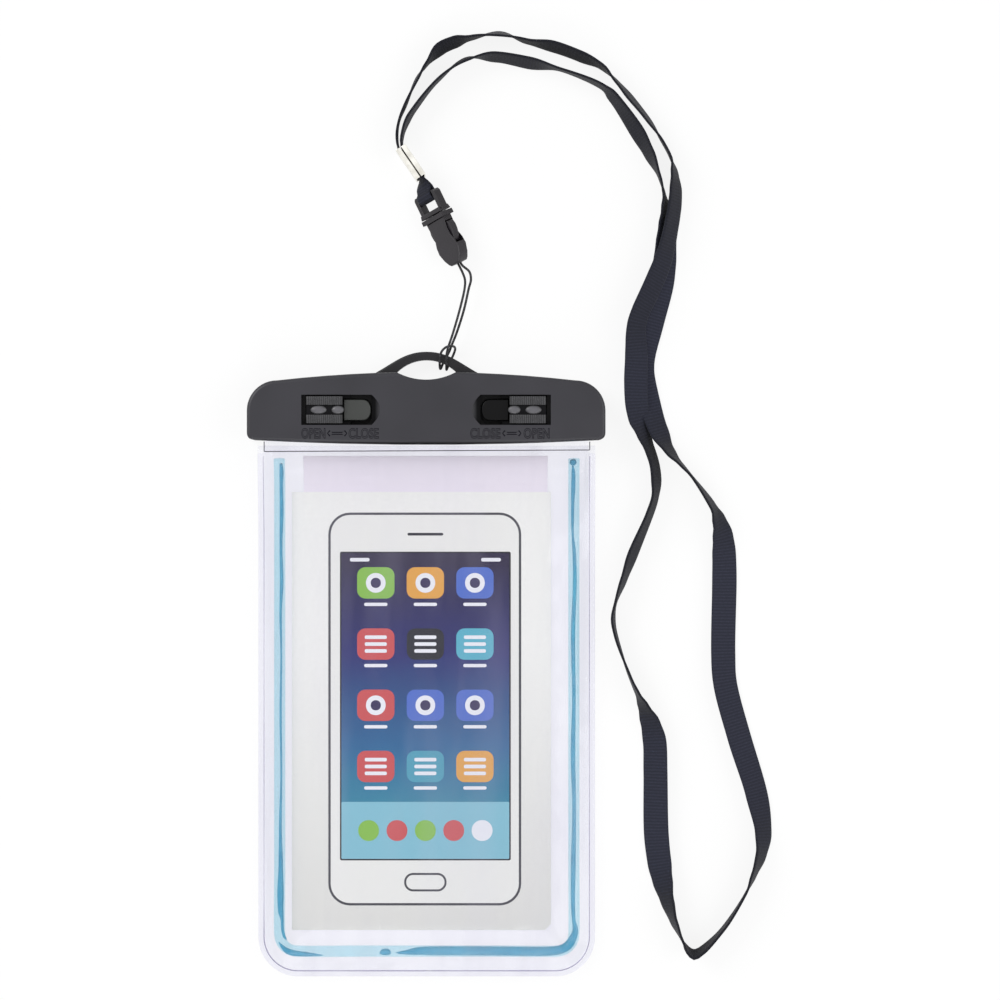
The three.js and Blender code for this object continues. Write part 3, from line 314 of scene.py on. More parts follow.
def band(name, path, across, widths, thickness, finish):
    """A woven band along a path in metres, with thin round selvages. Its length and width are its uv,
    and its attribute "flat" is 1 where it lies flat and 0 where it stands on its edge."""
    profile = [(-1, 0), (-0.97, 0.42), (-0.88, 0.5), (-0.5, 0.5), (0, 0.5), (0.5, 0.5), (0.88, 0.5), (0.97, 0.42)]
    profile += [(1, 0)] + [(a, -b) for a, b in reversed(profile[1:])]
    points, faces, uvs, flat = [], [], [], []
    count = len(profile)
    run = 0.0
    for i, centre in enumerate(path):
        ahead = (path[min(i + 1, len(path) - 1)] - path[max(i - 1, 0)]).normalized()
        wide = (across[i] - ahead * across[i].dot(ahead)).normalized()
        face = ahead.cross(wide)
        run += (centre - path[i - 1]).length if i else 0.0
        for a, b in profile:
            points.append(centre + wide * (a * widths[i] / 2) + face * (b * thickness))
            uvs.append((run, a * widths[i] / 2))
            flat.append(abs(face.z))
    for i in range(len(path) - 1):
        for k in range(count):
            a, b = i * count + k, i * count + (k + 1) % count
            faces.append((a, a + count, b + count, b))
    last = (len(path) - 1) * count
    faces.append(tuple(range(count)))
    faces.append(tuple(range(last + count - 1, last - 1, -1)))
    made = new_piece(name, points, faces, finish, uvs)
    form = bmesh.new()
    form.from_mesh(made.data)
    bmesh.ops.recalc_face_normals(form, faces=form.faces)
    form.to_mesh(made.data)
    form.free()
    made.data.attributes.new("flat", "FLOAT", "POINT").data.foreach_set("value", flat)
    return made


# Woven polyester: matt with a faint sheen, with weft ribs across it. They are about 0.4 mm apart
# on the real band and drawn at 1 mm so that they show; its selvages are a little darker. Its colour
# is painted lighter where the band lies flat and darker where it stands on its edge: painted light
# and shade.
weave, tree, shader = new_finish("navy black polyester weave", Roughness=0.8, Sheen_Weight=0.08, Sheen_Roughness=0.4,
                                 Specular_IOR_Level=0.22)
place = add(tree, "UVMap", uv_map="cut")
ribs = add(tree, "TexWave", {"Vector": place, "Scale": 300.0, "Distortion": 0.6,
                                       "Detail": 1.0, "Detail Scale": 900.0})
parts = add(tree, "SeparateXYZ", {"Vector": place})
edge = add(tree, "Math", {0: parts.outputs["Y"]}, operation="ABSOLUTE")
selvage = add(tree, "MapRange", {"Value": edge, "From Min": 0.0036, "From Max": 0.0042,
                                           "To Min": 1.0, "To Max": 0.55})
fleck = add(tree, "TexNoise", {"Vector": place, "Scale": 1500.0, "Detail": 3.0})
shade = add(tree, "Math", {0: ribs.outputs["Fac"], 1: fleck.outputs["Fac"], 2: -0.1}, operation="MULTIPLY_ADD")
lit = add(tree, "Math", {0: shade, 1: selvage}, operation="MULTIPLY")
flat = add(tree, "Attribute", attribute_name="flat")
flat_painted_light_share = add(tree, "MapRange", {"Value": flat.outputs["Fac"], "From Min": 0.4, "From Max": 1.0})
# Painted light and shade: a darker tone for the band on edge, a lighter one where it lies flat.
edge_on_painted_shade = add(tree, "ValToRGB", {"Fac": lit}, stops=[(0.0, "#12131a"), (0.5, "#1a1b26")])
flat_painted_light = add(tree, "ValToRGB", {"Fac": lit}, stops=[(0.0, "#262835"), (0.5, "#323443")])
tone = add(tree, "Mix", {"Factor": flat_painted_light_share, "A": edge_on_painted_shade, "B": flat_painted_light},
           data_type="RGBA")
bump = add(tree, "Bump", {"Height": ribs.outputs["Fac"], "Strength": 0.25, "Distance": 0.0001})
feed(shader, {"Base Color": tone.outputs["Result"], "Normal": bump})

ribbon_rows = []
for x, y, tilt, *lifted in ribbon_course:
    lean = math.radians(tilt)
    lift = sum(lifted)
    rise = (RIBBON_WIDTH * math.sin(lean) + RIBBON_THICKNESS * abs(math.cos(lean))) / 2
    ribbon_rows.append((Vector((x, y, rise + lift + 0.1)), lean))
ribbon_middle, ribbon_lean = [], []
for i, (point, lean) in enumerate(ribbon_rows[:-1]):
    nearby = [ribbon_rows[min(max(i + k, 0), len(ribbon_rows) - 1)][0] for k in (-1, 0, 1, 2)]
    steps = max(1, round((nearby[2] - nearby[1]).length / RIBBON_STEP))
    stretch = smooth_path(nearby, RIBBON_STEP) if 0 < i < len(ribbon_rows) - 2 else None
    for k in range(steps):
        t = k / steps
        if stretch:
            first = max(1, round((nearby[1] - nearby[0]).length / RIBBON_STEP))
            ribbon_middle.append(stretch[first + k])
        else:
            ribbon_middle.append(nearby[1].lerp(nearby[2], t))
        ease = t * t * (3 - 2 * t)
        ribbon_lean.append(lean + (ribbon_rows[i + 1][1] - lean) * ease)
ribbon_middle.append(ribbon_rows[-1][0])
ribbon_lean.append(ribbon_rows[-1][1])
ribbon_across = []
for i, lean in enumerate(ribbon_lean):
    ahead = ribbon_middle[min(i + 1, len(ribbon_middle) - 1)] - ribbon_middle[max(i - 1, 0)]
    right = Vector((ahead.y, -ahead.x, 0)).normalized()
    ribbon_across.append(right * math.cos(lean) + Vector((0, 0, math.sin(lean))))
ribbon_path = [at(*p) for p in ribbon_middle]
ribbon = band("neck_ribbon", ribbon_path, ribbon_across, [RIBBON_WIDTH * MM] * len(ribbon_path),
              RIBBON_THICKNESS * MM, weave)
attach(ribbon, "pouch")
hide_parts("neck_strap")

# Bar loop: the same band, doubled, that turns from on edge in the crimp to flat on the plug's bar
# and passes round it.
CRIMP_FOOT = Vector((-1.83, 88.97, 5.4))
CRIMP_HEAD = Vector((-8.67, 98.93, 5.4))
PLUG_BAR = 6.9
LOOP_WIDTH = 6.6
LOOP_ROOT = 8.4
crimp_axis = (CRIMP_HEAD - CRIMP_FOOT).normalized()
bar_middle = in_buckle(-PLUG_BAR, 0, 0)
bar_across = (in_buckle(0, 1, 0) - in_buckle(0, 0, 0)).normalized()
loop_ahead = bar_middle - CRIMP_FOOT
loop_ahead = (loop_ahead - bar_across * loop_ahead.dot(bar_across)).normalized()
loop_face = loop_ahead.cross(bar_across).normalized()
loop_leg = []
for t in (-0.33, -0.1, 0.0, 0.2, 0.4, 0.6, 0.8):
    centre = CRIMP_FOOT.lerp(bar_middle - loop_ahead * 2.2, t) if t > 0 else CRIMP_FOOT - crimp_axis * (t * 10)
    upward = Vector((0, 0, 1)).lerp(bar_across, max(t, 0) / 0.8).normalized()
    ahead = crimp_axis * -1 if t <= 0 else (bar_middle - CRIMP_FOOT).normalized()
    width = LOOP_ROOT + (LOOP_WIDTH - LOOP_ROOT) * max(t, 0) / 0.8
    loop_leg.append((centre, upward, ahead.cross(upward).normalized(), width))
loop_rows = [(c + f * 0.5, u, w) for c, u, f, w in loop_leg]
for a in range(150, -151, -30):
    turn = math.radians(a)
    out = loop_ahead * math.cos(turn) + loop_face * math.sin(turn)
    loop_rows.append((bar_middle + out * 1.8, bar_across, LOOP_WIDTH))
loop_rows += [(c - f * 0.5, u, w) for c, u, f, w in reversed(loop_leg)]
loop = band("bar_loop", [at(*c) for c, u, w in loop_rows], [u for c, u, w in loop_rows],
            [w * MM for c, u, w in loop_rows], 0.75 * MM, weave)
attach(loop, "pouch")
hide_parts("strap_bar_loop")

# Crimp: thin steel sheet, nickel plated and bright, folded round the ribbon's ends and pressed
# shut, with its lengthwise seam up.


def own_place(tree):
    """The socket with a point's own Object coordinates."""
    return add(tree, "TexCoord").outputs["Object"]


def evaluated(thing):
    """A new mesh of an object as its modifiers leave it."""
    return bpy.data.meshes.new_from_object(thing.evaluated_get(bpy.context.evaluated_depsgraph_get()))


def refined(name, node, finish, body, rounding):
    """A node's own form with whole faces, rounded edges and smooth curves, in the node's place."""
    form = bmesh.new()
    form.from_mesh(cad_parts[node].data)
    bmesh.ops.remove_doubles(form, verts=form.verts, dist=2e-6)
    bmesh.ops.dissolve_limit(form, angle_limit=math.radians(0.6), verts=form.verts, edges=form.edges)
    mesh = bpy.data.meshes.new(name)
    form.to_mesh(mesh)
    form.free()
    mesh.materials.clear()
    mesh.materials.append(finish)
    rough = show(bpy.data.objects.new(name, mesh))
    bevel = rough.modifiers.new("edges", "BEVEL")
    bevel.width = rounding * MM
    bevel.segments = 2
    bevel.limit_method = "ANGLE"
    bevel.angle_limit = math.radians(35)
    bevel.use_clamp_overlap = True
    mesh.polygons.foreach_set("use_smooth", [True] * len(mesh.polygons))
    even = rough.modifiers.new("even shading", "WEIGHTED_NORMAL")
    even.keep_sharp = True
    shaped = evaluated(rough)
    rough.modifiers.clear()
    rough.data = shaped
    for face in shaped.polygons:
        face.material_index = 0
    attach(rough, body)
    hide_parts(node)


# Nickel on steel sheet: bright and slightly clouded, with fine draw marks along the fold.
nickel, tree, shader = new_finish("bright nickel-plated steel sheet", Metallic=1.0, Roughness=0.24)
place = own_place(tree)
cloud = add(tree, "TexNoise", {"Vector": place, "Scale": 350.0, "Detail": 4.0})
tone = add(tree, "ValToRGB", {"Fac": cloud}, stops=[(0.3, "#dcd9cf"), (0.6, "#f3f1ea")])
dull = add(tree, "MapRange", {"Value": cloud, "From Min": 0.3, "From Max": 0.7,
                                        "To Min": 0.16, "To Max": 0.36})
stretch = add(tree, "Mapping", {"Vector": place, "Rotation": (0, 0, 0.96),
                                          "Scale": (300, 6000, 3000)})
draw = add(tree, "TexNoise", {"Vector": stretch, "Scale": 1.0, "Detail": 2.0})
bump = add(tree, "Bump", {"Height": draw, "Strength": 0.12, "Distance": 0.00005})
feed(shader, {"Base Color": tone, "Roughness": dull, "Normal": bump})
refined("crimp_sheet", "crimp", nickel, "pouch", 0.22)

# Buckle: a small side-release buckle of four moulded parts of black acetal: socket, plug and the
# two prongs that are squeezed to let go.


def moulded(name, dark, light, roughness, grain, relief, **more):
    """Moulded plastic: near-even colour, the fine grain of the mould's surface, in millimetres."""
    made, tree, shader = new_finish(name, Roughness=roughness, IOR=1.49, **more)
    place = own_place(tree)
    pits = add(tree, "TexNoise", {"Vector": place, "Scale": 1 / (grain * MM), "Detail": 3.0})
    flow = add(tree, "TexNoise", {"Vector": place, "Scale": 45.0, "Detail": 2.0})
    tone = add(tree, "ValToRGB", {"Fac": flow}, stops=[(0.35, dark), (0.7, light)])
    dull = add(tree, "MapRange", {"Value": flow, "From Min": 0.3, "From Max": 0.7,
                                            "To Min": roughness - 0.05, "To Max": roughness + 0.07})
    bump = add(tree, "Bump", {"Height": pits, "Strength": relief, "Distance": 0.00008})
    feed(shader, {"Base Color": tone, "Roughness": dull, "Normal": bump})
    return made


acetal = moulded("black acetal, as moulded", "#19161b", "#252127", 0.34, 0.5, 0.12)
refined("socket", "buckle_socket", acetal, "pouch", 0.3)
refined("plug", "buckle_plug", acetal, "pouch", 0.25)
refined("prong_at_right", "prong_right", acetal, "prong_right_body", 0.25)
refined("prong_at_left", "prong_left", acetal, "prong_left_body", 0.25)

# Bag: two leaves of clear soft PVC film, welded round three sides. The back leaf lies on the
# table and the front leaf stands up from it, lightly puckered along the weld.
BAG_HALF = 56.3
BAG_LENGTH = 177.8
BAG_CORNER = 13.3
WELD_WIDTH = 1.8
WELD_HEIGHT = 2.7
BAG_DEPTH = 9.4
FILM = 0.4
FOLD = -2.45
GRIP = 4.6
MOUTH_HALF = 53.8
FILM_FRONT = 11.3
FILM_GAP = 0.15
BACK_LEVEL = 2.3
PARTING = 7


def share_of(value, whole):
    """How much of a whole a value is, from 0 to 1."""
    return min(max(value / whole, 0.0), 1.0)


def ease_between(low, high, value):
    t = share_of(value - low, high - low)
    return t * t * (3 - 2 * t)


def inset(x, y):
    """How far a point of the bag lies inside its welded edge."""
    side, foot = BAG_HALF - abs(x), y + BAG_LENGTH
    if side < BAG_CORNER and foot < BAG_CORNER:
        return BAG_CORNER - math.hypot(BAG_CORNER - side, BAG_CORNER - foot)
    return min(side, foot)


def bag_floor(y):
    return BACK_LEVEL * ease_between(-14, FOLD - 1, y)


def weld_level(y):
    return WELD_HEIGHT + (PARTING - WELD_HEIGHT) * ease_between(-32, FOLD, y)


def back_level(x, y):
    """The back leaf's under side."""
    t = share_of(inset(x, y) - WELD_WIDTH, 3.2)
    weld = weld_level(y) - FILM_GAP - FILM
    return bag_floor(y) + (weld - bag_floor(y)) * (1 - t) ** 2


def front_level(x, y):
    """The front leaf's upper side, with the puckers that the weld and the clamp pull in it."""
    mouth = ease_between(-45, FOLD, y)
    slope = 30 + (2.6 - 30) * mouth
    crown = BAG_DEPTH + (FILM_FRONT + FILM - BAG_DEPTH) * mouth
    depth = inset(x, y)
    t = share_of(depth - WELD_WIDTH, slope)
    weld = weld_level(y) + FILM_GAP + FILM
    level = weld + (crown - weld) * (1 - (1 - t) ** 2.2)
    free = share_of(depth - WELD_WIDTH, 4) * ease_between(-3.2, -9, y)
    along = math.atan2(x, y + 90)
    pucker = 0.16 * math.sin(along * 34 + 0.8 * math.sin(along * 9)) * math.exp(-max(depth - 5, 0) / 9)
    drape = 0.32 * math.sin(x / 8.5 + 1.2 * math.sin(y / 21) + y / 60) * ease_between(-120, -20, y)
    sag = 0.5 * math.sin(y / 26 + x / 55) + 0.3 * math.sin(x / 17 - y / 38 + 1.0)
    return level + free * (pucker + 0.55 * drape + 0.6 * sag - 0.5)


def film_leaf(name, level, rows, half_at, finish, columns=110):
    """A closed thin leaf whose upper side follows a level, between the bag's side edges."""
    points, faces = [], []
    for drop in (0.0, FILM):
        for y in rows:
            half = half_at(y)
            for i in range(columns + 1):
                s = math.sin((i / columns - 0.5) * math.pi) * 0.35 + (i / columns * 2 - 1) * 0.65
                points.append(at(s * half, y, level(s * half, y) - drop))
    wide, layer = columns + 1, (columns + 1) * len(rows)
    for j in range(len(rows) - 1):
        for i in range(columns):
            a = j * wide + i
            faces.append((a, a + 1, a + 1 + wide, a + wide))
            faces.append((layer + a, layer + a + wide, layer + a + wide + 1, layer + a + 1))
        left, right = j * wide, j * wide + columns
        faces.append((left, left + wide, layer + left + wide, layer + left))
        faces.append((right, layer + right, layer + right + wide, right + wide))
    for i in range(columns):
        far = (len(rows) - 1) * wide + i
        faces.append((i, layer + i, layer + i + 1, i + 1))
        faces.append((far, far + 1, layer + far + 1, layer + far))
    return new_piece(name, points, faces, finish)


def bag_half(y):
    foot = y + BAG_LENGTH
    if foot >= BAG_CORNER:
        return BAG_HALF
    return BAG_HALF - BAG_CORNER + math.sqrt(max(BAG_CORNER ** 2 - (BAG_CORNER - foot) ** 2, 0))


# Calendered PVC: clear with a cool lavender cast, glossy. Only its gloss, a faint haze and its
# edges show.


def clear_sheet(name, tint, haze, gloss, cloud="#d3cfe4"):
    """Clear soft sheet: see-through, with a thin even haze and streaks of more haze, which are painted soft shade and
    light streaks.
    """
    made, tree = blank_finish(name)
    place = own_place(tree)
    ripple = add(tree, "TexNoise", {"Vector": place, "Scale": 90.0, "Detail": 2.0})
    drawn = add(tree, "Mapping", {"Vector": place, "Rotation": (0, 0, 0.12),
                                            "Scale": (70, 14, 20)})
    streaks = add(tree, "TexNoise", {"Vector": drawn, "Scale": 1.0, "Detail": 3.0})
    # Painted light and shade: streaks of more haze stand for soft shading and light streaks on the film.
    haze_with_painted_streaks = add(tree, "MapRange", {"Value": streaks, "From Min": 0.42, "From Max": 0.7,
                                            "To Min": haze, "To Max": haze + 0.045})
    bump = add(tree, "Bump", {"Height": ripple, "Strength": 0.25, "Distance": 0.0006})
    facing = add(tree, "LayerWeight", {"Blend": 0.5, "Normal": bump})
    steep = add(tree, "Math", {0: facing.outputs["Facing"], 1: 4.0}, operation="POWER")
    share = add(tree, "Math", {0: steep, 1: 0.6, 2: 0.012}, operation="MULTIPLY_ADD")
    clear = add(tree, "BsdfTransparent", {"Color": srgb(tint)})
    cloudy = add(tree, "BsdfDiffuse", {"Color": srgb(cloud)})
    shine = add(tree, "BsdfGlossy", {"Color": (1, 1, 1, 1), "Roughness": gloss, "Normal": bump})
    body = add(tree, "MixShader", {"Fac": haze_with_painted_streaks, 1: clear, 2: cloudy})
    whole = add(tree, "MixShader", {"Fac": share, 1: body, 2: shine})
    add(tree, "OutputMaterial", {"Surface": whole})
    return made


pvc = clear_sheet("clear calendered PVC film", "#fcfcfe", 0.008, 0.12)
foot_rows = [-BAG_LENGTH + BAG_CORNER * (1 - math.cos(math.radians(a))) for a in range(0, 91, 6)]
foot_rows[0] = -BAG_LENGTH + 0.02
bag_rows = foot_rows + [-BAG_LENGTH + BAG_CORNER + k * 1.6 for k in range(1, 91)]
bag_rows = [y for y in bag_rows if y < -18] + [-18 + k * 0.75 for k in range(20)]
back_leaf = film_leaf("back_leaf", lambda x, y: back_level(x, y) + FILM, bag_rows + [FOLD, -0.35],
                      bag_half, pvc, 70)
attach(back_leaf, "pouch")
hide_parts("back_film")
front_rows = bag_rows + [-3.2, FOLD - 0.25, FOLD, FOLD + 0.25, -1.2, 0.8, GRIP]
front_leaf = film_leaf(
    "front_leaf",
    lambda x, y: front_level(x, y) if y < FOLD - 0.3 else FILM_FRONT + FILM - (0.25 if y == FOLD else 0),
    front_rows, lambda y: min(bag_half(y), MOUTH_HALF) if y > FOLD - 0.3 else bag_half(y), pvc,
)
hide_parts("front_film", "front_mouth_strip")
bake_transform(front_leaf)

# Weld line: the hot bar leaves a fine ridge along the inner side of the weld, wider at the bag's
# foot.
ridge = clear_sheet("melted PVC ridge", "#dcd9ea", 0.25, 0.3, "#8f8ba6")
ridge_inset = WELD_WIDTH + 0.1
ridge_half, ridge_foot, ridge_round = BAG_HALF - ridge_inset, ridge_inset - BAG_LENGTH, BAG_CORNER - ridge_inset
ridge_side = [Vector((-ridge_half, -4 - (BAG_LENGTH - ridge_inset - ridge_round - 4) * k / 60, 0)) for k in range(61)]
ridge_turn = [
    Vector((-ridge_half + ridge_round * (1 - math.cos(a)), ridge_foot + ridge_round * (1 - math.sin(a)), 0))
    for a in (math.radians(6 * k) for k in range(1, 16))
]
ridge_run = ridge_side + ridge_turn + [Vector((-30 + 6 * k, ridge_foot, 0)) for k in range(6)]
ridge_run = ridge_run + [Vector((-p.x, p.y, 0)) for p in reversed(ridge_run)]
ridge_path = [at(p.x, p.y, front_level(p.x, p.y) + 0.03) for p in ridge_run]
ridge_sizes = [
    (0.09 + 0.07 * ease_between(-150, -170, p.y) + 0.02 * math.sin(p.x / 7 + p.y / 11)) * MM for p in ridge_run
]
weld_ridge = round_rod("weld_ridge", ridge_path, ridge_sizes, 8, ridge)
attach(weld_ridge, "pouch")

# Fold: where the front leaf turns up into the clamp, a fine grey line lies along the mouth with its
# ends turned up to the clamp.
mouth_line_sheet = clear_sheet("grey PVC line at the mouth", "#8f8d9c", 0.45, 0.3, "#6f6d7a")
for name, rows in (
    ("fold_line", ((-53.8, -2.4), (54.3, -1.9))),
    ("fold_end_left", ((-53.8, -2.4), (-53.8, 0.9))),
    ("fold_end_right", ((54.3, -1.9), (54.3, 0.9))),
):
    marks = [at(x, y, FILM_FRONT + FILM + 0.02) for x, y in rows]
    line = round_rod(name, [marks[0].lerp(marks[1], k / 8) for k in range(9)], 0.16 * MM, 8, mouth_line_sheet)
    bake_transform(line)

# Luminous tube: soft clear hose, bent into a U between the leaves and part filled with a blue gel.
# Its closed ends lie just below the clamp.
TUBE_RADIUS = 1.9
TUBE_X = BAG_HALF - 7.1
TUBE_Y = 8.4 - BAG_LENGTH
TUBE_BEND = 5.7
TUBE_BORE = 1.45
TUBE_STEP = 1.2


def tube_place(x, y):
    return Vector((x, y, bag_floor(y) + FILM + 2 * FILM_GAP + TUBE_RADIUS))


left_leg = [tube_place(-TUBE_X, y) for y in (-4.8, -6.2, -8, -11, -14, -20, -60, -100, -140, TUBE_Y + TUBE_BEND)]
left_bend = [
    tube_place(-TUBE_X + TUBE_BEND * (1 - math.cos(a)), TUBE_Y + TUBE_BEND * (1 - math.sin(a)))
    for a in (math.radians(15 * k) for k in range(1, 7))
]
tube_half = left_leg + left_bend + [tube_place(-20, TUBE_Y)]
tube_points = tube_half + [tube_place(0, TUBE_Y)] + [Vector((-p.x, p.y, p.z)) for p in reversed(tube_half)]
tube_path = [at(*p) for p in smooth_path(tube_points, TUBE_STEP)]
hose = clear_sheet("clear soft vinyl hose", "#e6fafe", 0.04, 0.08, "#bfe3f2")
hose_piece = round_rod("light_hose", tube_path, TUBE_RADIUS * MM, 24, hose)
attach(hose_piece, "pouch")
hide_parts("luminous_tube")

# Gel: a clear blue liquid that has run together in long threads and drops. It fills the foot of the
# hose at the right and leaves the rest half empty.
# The gel's faint emission is painted light that brightens its colour; it gives off no light.
gel, tree, shader = new_finish("blue gel with a painted glow", Roughness=0.35, Specular_IOR_Level=0.15,
                                Emission_Strength=0.06)
place = own_place(tree)
cloud = add(tree, "TexNoise", {"Vector": place, "Scale": 160.0, "Detail": 3.0})
tone = add(tree, "ValToRGB", {"Fac": cloud}, stops=[(0.3, "#409ab8"), (0.7, "#5cadc6")])
feed(shader, {"Base Color": tone, "Emission Color": tone})
for name, course in (
    ("gel_left_leg", (
        (-48.6, -6.4, 0.5), (-48.5, -9, 0.72), (-48.6, -14, 0.6), (-48.5, -22, 0.66), (-48.7, -34, 0.5),
        (-48.5, -46, 0.62), (-48.8, -56, 0.45), (-48.6, -70, 0.34), (-48.8, -90, 0.4), (-48.6, -110, 0.34),
        (-48.9, -128, 0.5), (-48.8, -140, 0.75), (-48.9, -150, 1.1), (-48.8, -156, 0.95), (-48.3, -159, 0.5),
        (-48.2, -162, 0.48), (-47.6, -164.4, 0.5), (-46.9, -165.4, 0.2),
    )),
    ("gel_left_corner", (
        (-49.4, -166.3, 0.15), (-48.2, -167.9, 0.6), (-46.6, -169.3, 0.95), (-44.5, -170.0, 1.0),
        (-41, -170.3, 0.8), (-37.5, -170.5, 0.5), (-34.8, -170.6, 0.15),
    )),
    ("gel_drop", (
        (-15.6, -169.9, 0.3), (-14.9, -169.7, 0.95), (-13.6, -169.6, 1.15), (-12.7, -169.7, 0.95),
        (-12.1, -169.9, 0.3),
    )),
    ("gel_foot", (
        (-10.2, -169.8, 0.1), (-8.8, -169.8, 0.5), (-6.5, -169.7, 0.8), (-4.5, -169.5, 1.15), (-2, -169.3, 1.35),
        (2, -169.3, 1.5), (14, -169.3, 1.52), (28, -169.4, 1.52), (41, -169.4, 1.52), (44.6, -168.9, 1.5),
        (47.2, -167.6, 1.5), (48.7, -165.4, 1.35), (49.7, -162.6, 1.0), (49.2, -159.2, 0.62), (48.9, -154, 0.7),
        (49.0, -140, 0.85), (49.3, -122, 0.66), (48.9, -104, 0.8), (49.2, -84, 0.62), (48.9, -64, 0.74),
        (49.5, -46, 0.7), (49.3, -36, 0.62), (48.8, -30, 0.4), (48.8, -20, 0.55), (49.0, -14, 0.74),
        (49.0, -9.2, 0.66), (48.8, -7.2, 0.25),
    )),
    ("gel_head", ((48.8, -7.0, 0.2), (48.9, -6.4, 0.9), (48.9, -6.1, 1.3), (48.9, -5.7, 1.1), (48.9, -5.5, 0.3))),
):
    marks = [tube_place(x, y) + Vector((0, 0, TUBE_BORE - r)) for x, y, r in course]
    spans = [max(1, round((b - a).length / TUBE_STEP)) for a, b in zip(marks, marks[1:])]
    radii = [
        (a[2] + (b[2] - a[2]) * ease_between(0, 1, k / count)) * MM
        for a, b, count in zip(course, course[1:], spans) for k in range(count)
    ] + [course[-1][2] * MM]
    drop = round_rod(name, [at(*p) for p in smooth_path(marks, TUBE_STEP)], radii, 12, gel)
    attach(drop, "pouch")

# Card: stiff white board with a printed front, with painted shade that greys it towards its foot. The
# print shows a handset of no make with a coloured screen; the tab above it is printed pale lavender.
CARD_TOP = 1.1
INK_LAYER = 0.02


def rounded(x0, x1, y0, y1, radius, steps=8):
    """A rectangle's outline with round corners, left round."""
    points = []
    for cx, cy, start in ((x1, y1, 0), (x0, y1, 90), (x0, y0, 180), (x1, y0, 270)):
        mx = cx - radius if cx == x1 else cx + radius
        my = cy - radius if cy == y1 else cy + radius
        for k in range(steps + 1):
            a = math.radians(start + 90 * k / steps)
            points.append((mx + radius * math.cos(a), my + radius * math.sin(a)))
    return points


def prism(name, outline, low, high, finish):
    """A flat piece with a given outline between two levels."""
    count = len(outline)
    points = [at(x, y, z) for z in (low, high) for x, y in outline]
    faces = [tuple(range(count - 1, -1, -1)), tuple(range(count, 2 * count))]
    faces += [(k, (k + 1) % count, count + (k + 1) % count, count + k) for k in range(count)]
    return new_piece(name, points, faces, finish, smooth=False)


def ink(name, outline, layer, finish):
    """A field of print: a thin layer with a given outline, on the card or on another layer."""
    low = CARD_TOP + layer * INK_LAYER
    made = prism(name, outline, low, low + INK_LAYER, finish)
    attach(made, "pouch")
    return made


board, tree, shader = new_finish("uncoated greyboard, white faced", Roughness=0.7)
place = own_place(tree)
fibre = add(tree, "TexNoise", {"Vector": place, "Scale": 900.0, "Detail": 4.0})
tone = add(tree, "ValToRGB", {"Fac": fibre}, stops=[(0.3, "#f5f5ed"), (0.7, "#fafaf2")])
parts = add(tree, "SeparateXYZ", {"Vector": place})
# Painted shade: the board's colour greys towards its foot.
foot_painted_shade = add(tree, "MapRange", {"Value": parts.outputs["Y"], "From Min": (POUCH_Y - 158) * MM,
                                        "From Max": (POUCH_Y - 70) * MM, "To Min": 0.6, "To Max": 0.0})
board_tone = add(tree, "Mix", {"Factor": foot_painted_shade, "A": tone, "B": srgb("#d2d1c8")},
                 data_type="RGBA")
tab = add(tree, "Math", {0: parts.outputs["Y"], 1: (POUCH_Y - 15.8) * MM}, operation="GREATER_THAN")
field = add(tree, "Mix", {"Factor": tab, "A": board_tone.outputs["Result"],
                                    "B": srgb("#f4edf3")}, data_type="RGBA")
feed(shader, {"Base Color": field.outputs["Result"]})
bump = add(tree, "Bump", {"Height": fibre, "Strength": 0.1, "Distance": 0.00005})
feed(shader, {"Normal": bump})
refined("picture_card", "insert_card", board, "pouch", 0.08)


def printed(name, *stops, low=-0.14, high=-0.03):
    """Offset ink: flat colour that may run from foot to head, with the press's faint mottle. With the default range
    the run is painted shade, darker towards the card's foot.
    """
    made, tree, shader = new_finish(name, Roughness=0.55, Specular_IOR_Level=0.15)
    place = own_place(tree)
    parts = add(tree, "SeparateXYZ", {"Vector": place})
    rise = add(tree, "MapRange", {"Value": parts.outputs["Y"], "From Min": low, "From Max": high})
    mottle = add(tree, "TexNoise", {"Vector": place, "Scale": 120.0, "Detail": 2.0})
    uneven = add(tree, "Math", {0: mottle, 1: 0.06, 2: rise}, operation="MULTIPLY_ADD")
    tone = add(tree, "ValToRGB", {"Fac": uneven}, stops=list(stops))
    feed(shader, {"Base Color": tone})
    return made


# These inks take the default range, so they darken towards the card's foot as painted shade.
line_ink = printed("dark grey line ink", (0.0, "#3c3c40"), (1.0, "#4a4a4e"))
case_ink = printed("white ink", (0.0, "#e3e3db"), (0.6, "#f0f0e8"), (1.0, "#f3f3eb"))
black_ink = printed("black ink", (0.0, "#1b1b20"), (1.0, "#202026"))
screen_ink = printed("screen print, violet to teal", (0.1, "#3f97a8"), (0.4, "#2f6a97"), (0.7, "#2f3370"),
                     (1.0, "#2a2340"), low=-0.066, high=0.037)
ink("print_outline", rounded(-33.0, 31.6, -154.3, -22.7, 7.3), 0, line_ink)
ink("print_case", rounded(-32.2, 30.8, -153.5, -23.5, 6.5), 1, case_ink)
ink("print_bezel", rounded(-29.1, 28.1, -139.2, -35.8, 0.6), 2, black_ink)
ink("print_screen", rounded(-28.6, 27.6, -138.7, -36.3, 0.4), 3, screen_ink)
ink("print_slot", rounded(-6.5, 5.5, -30.4, -29.5, 0.44), 2, black_ink)

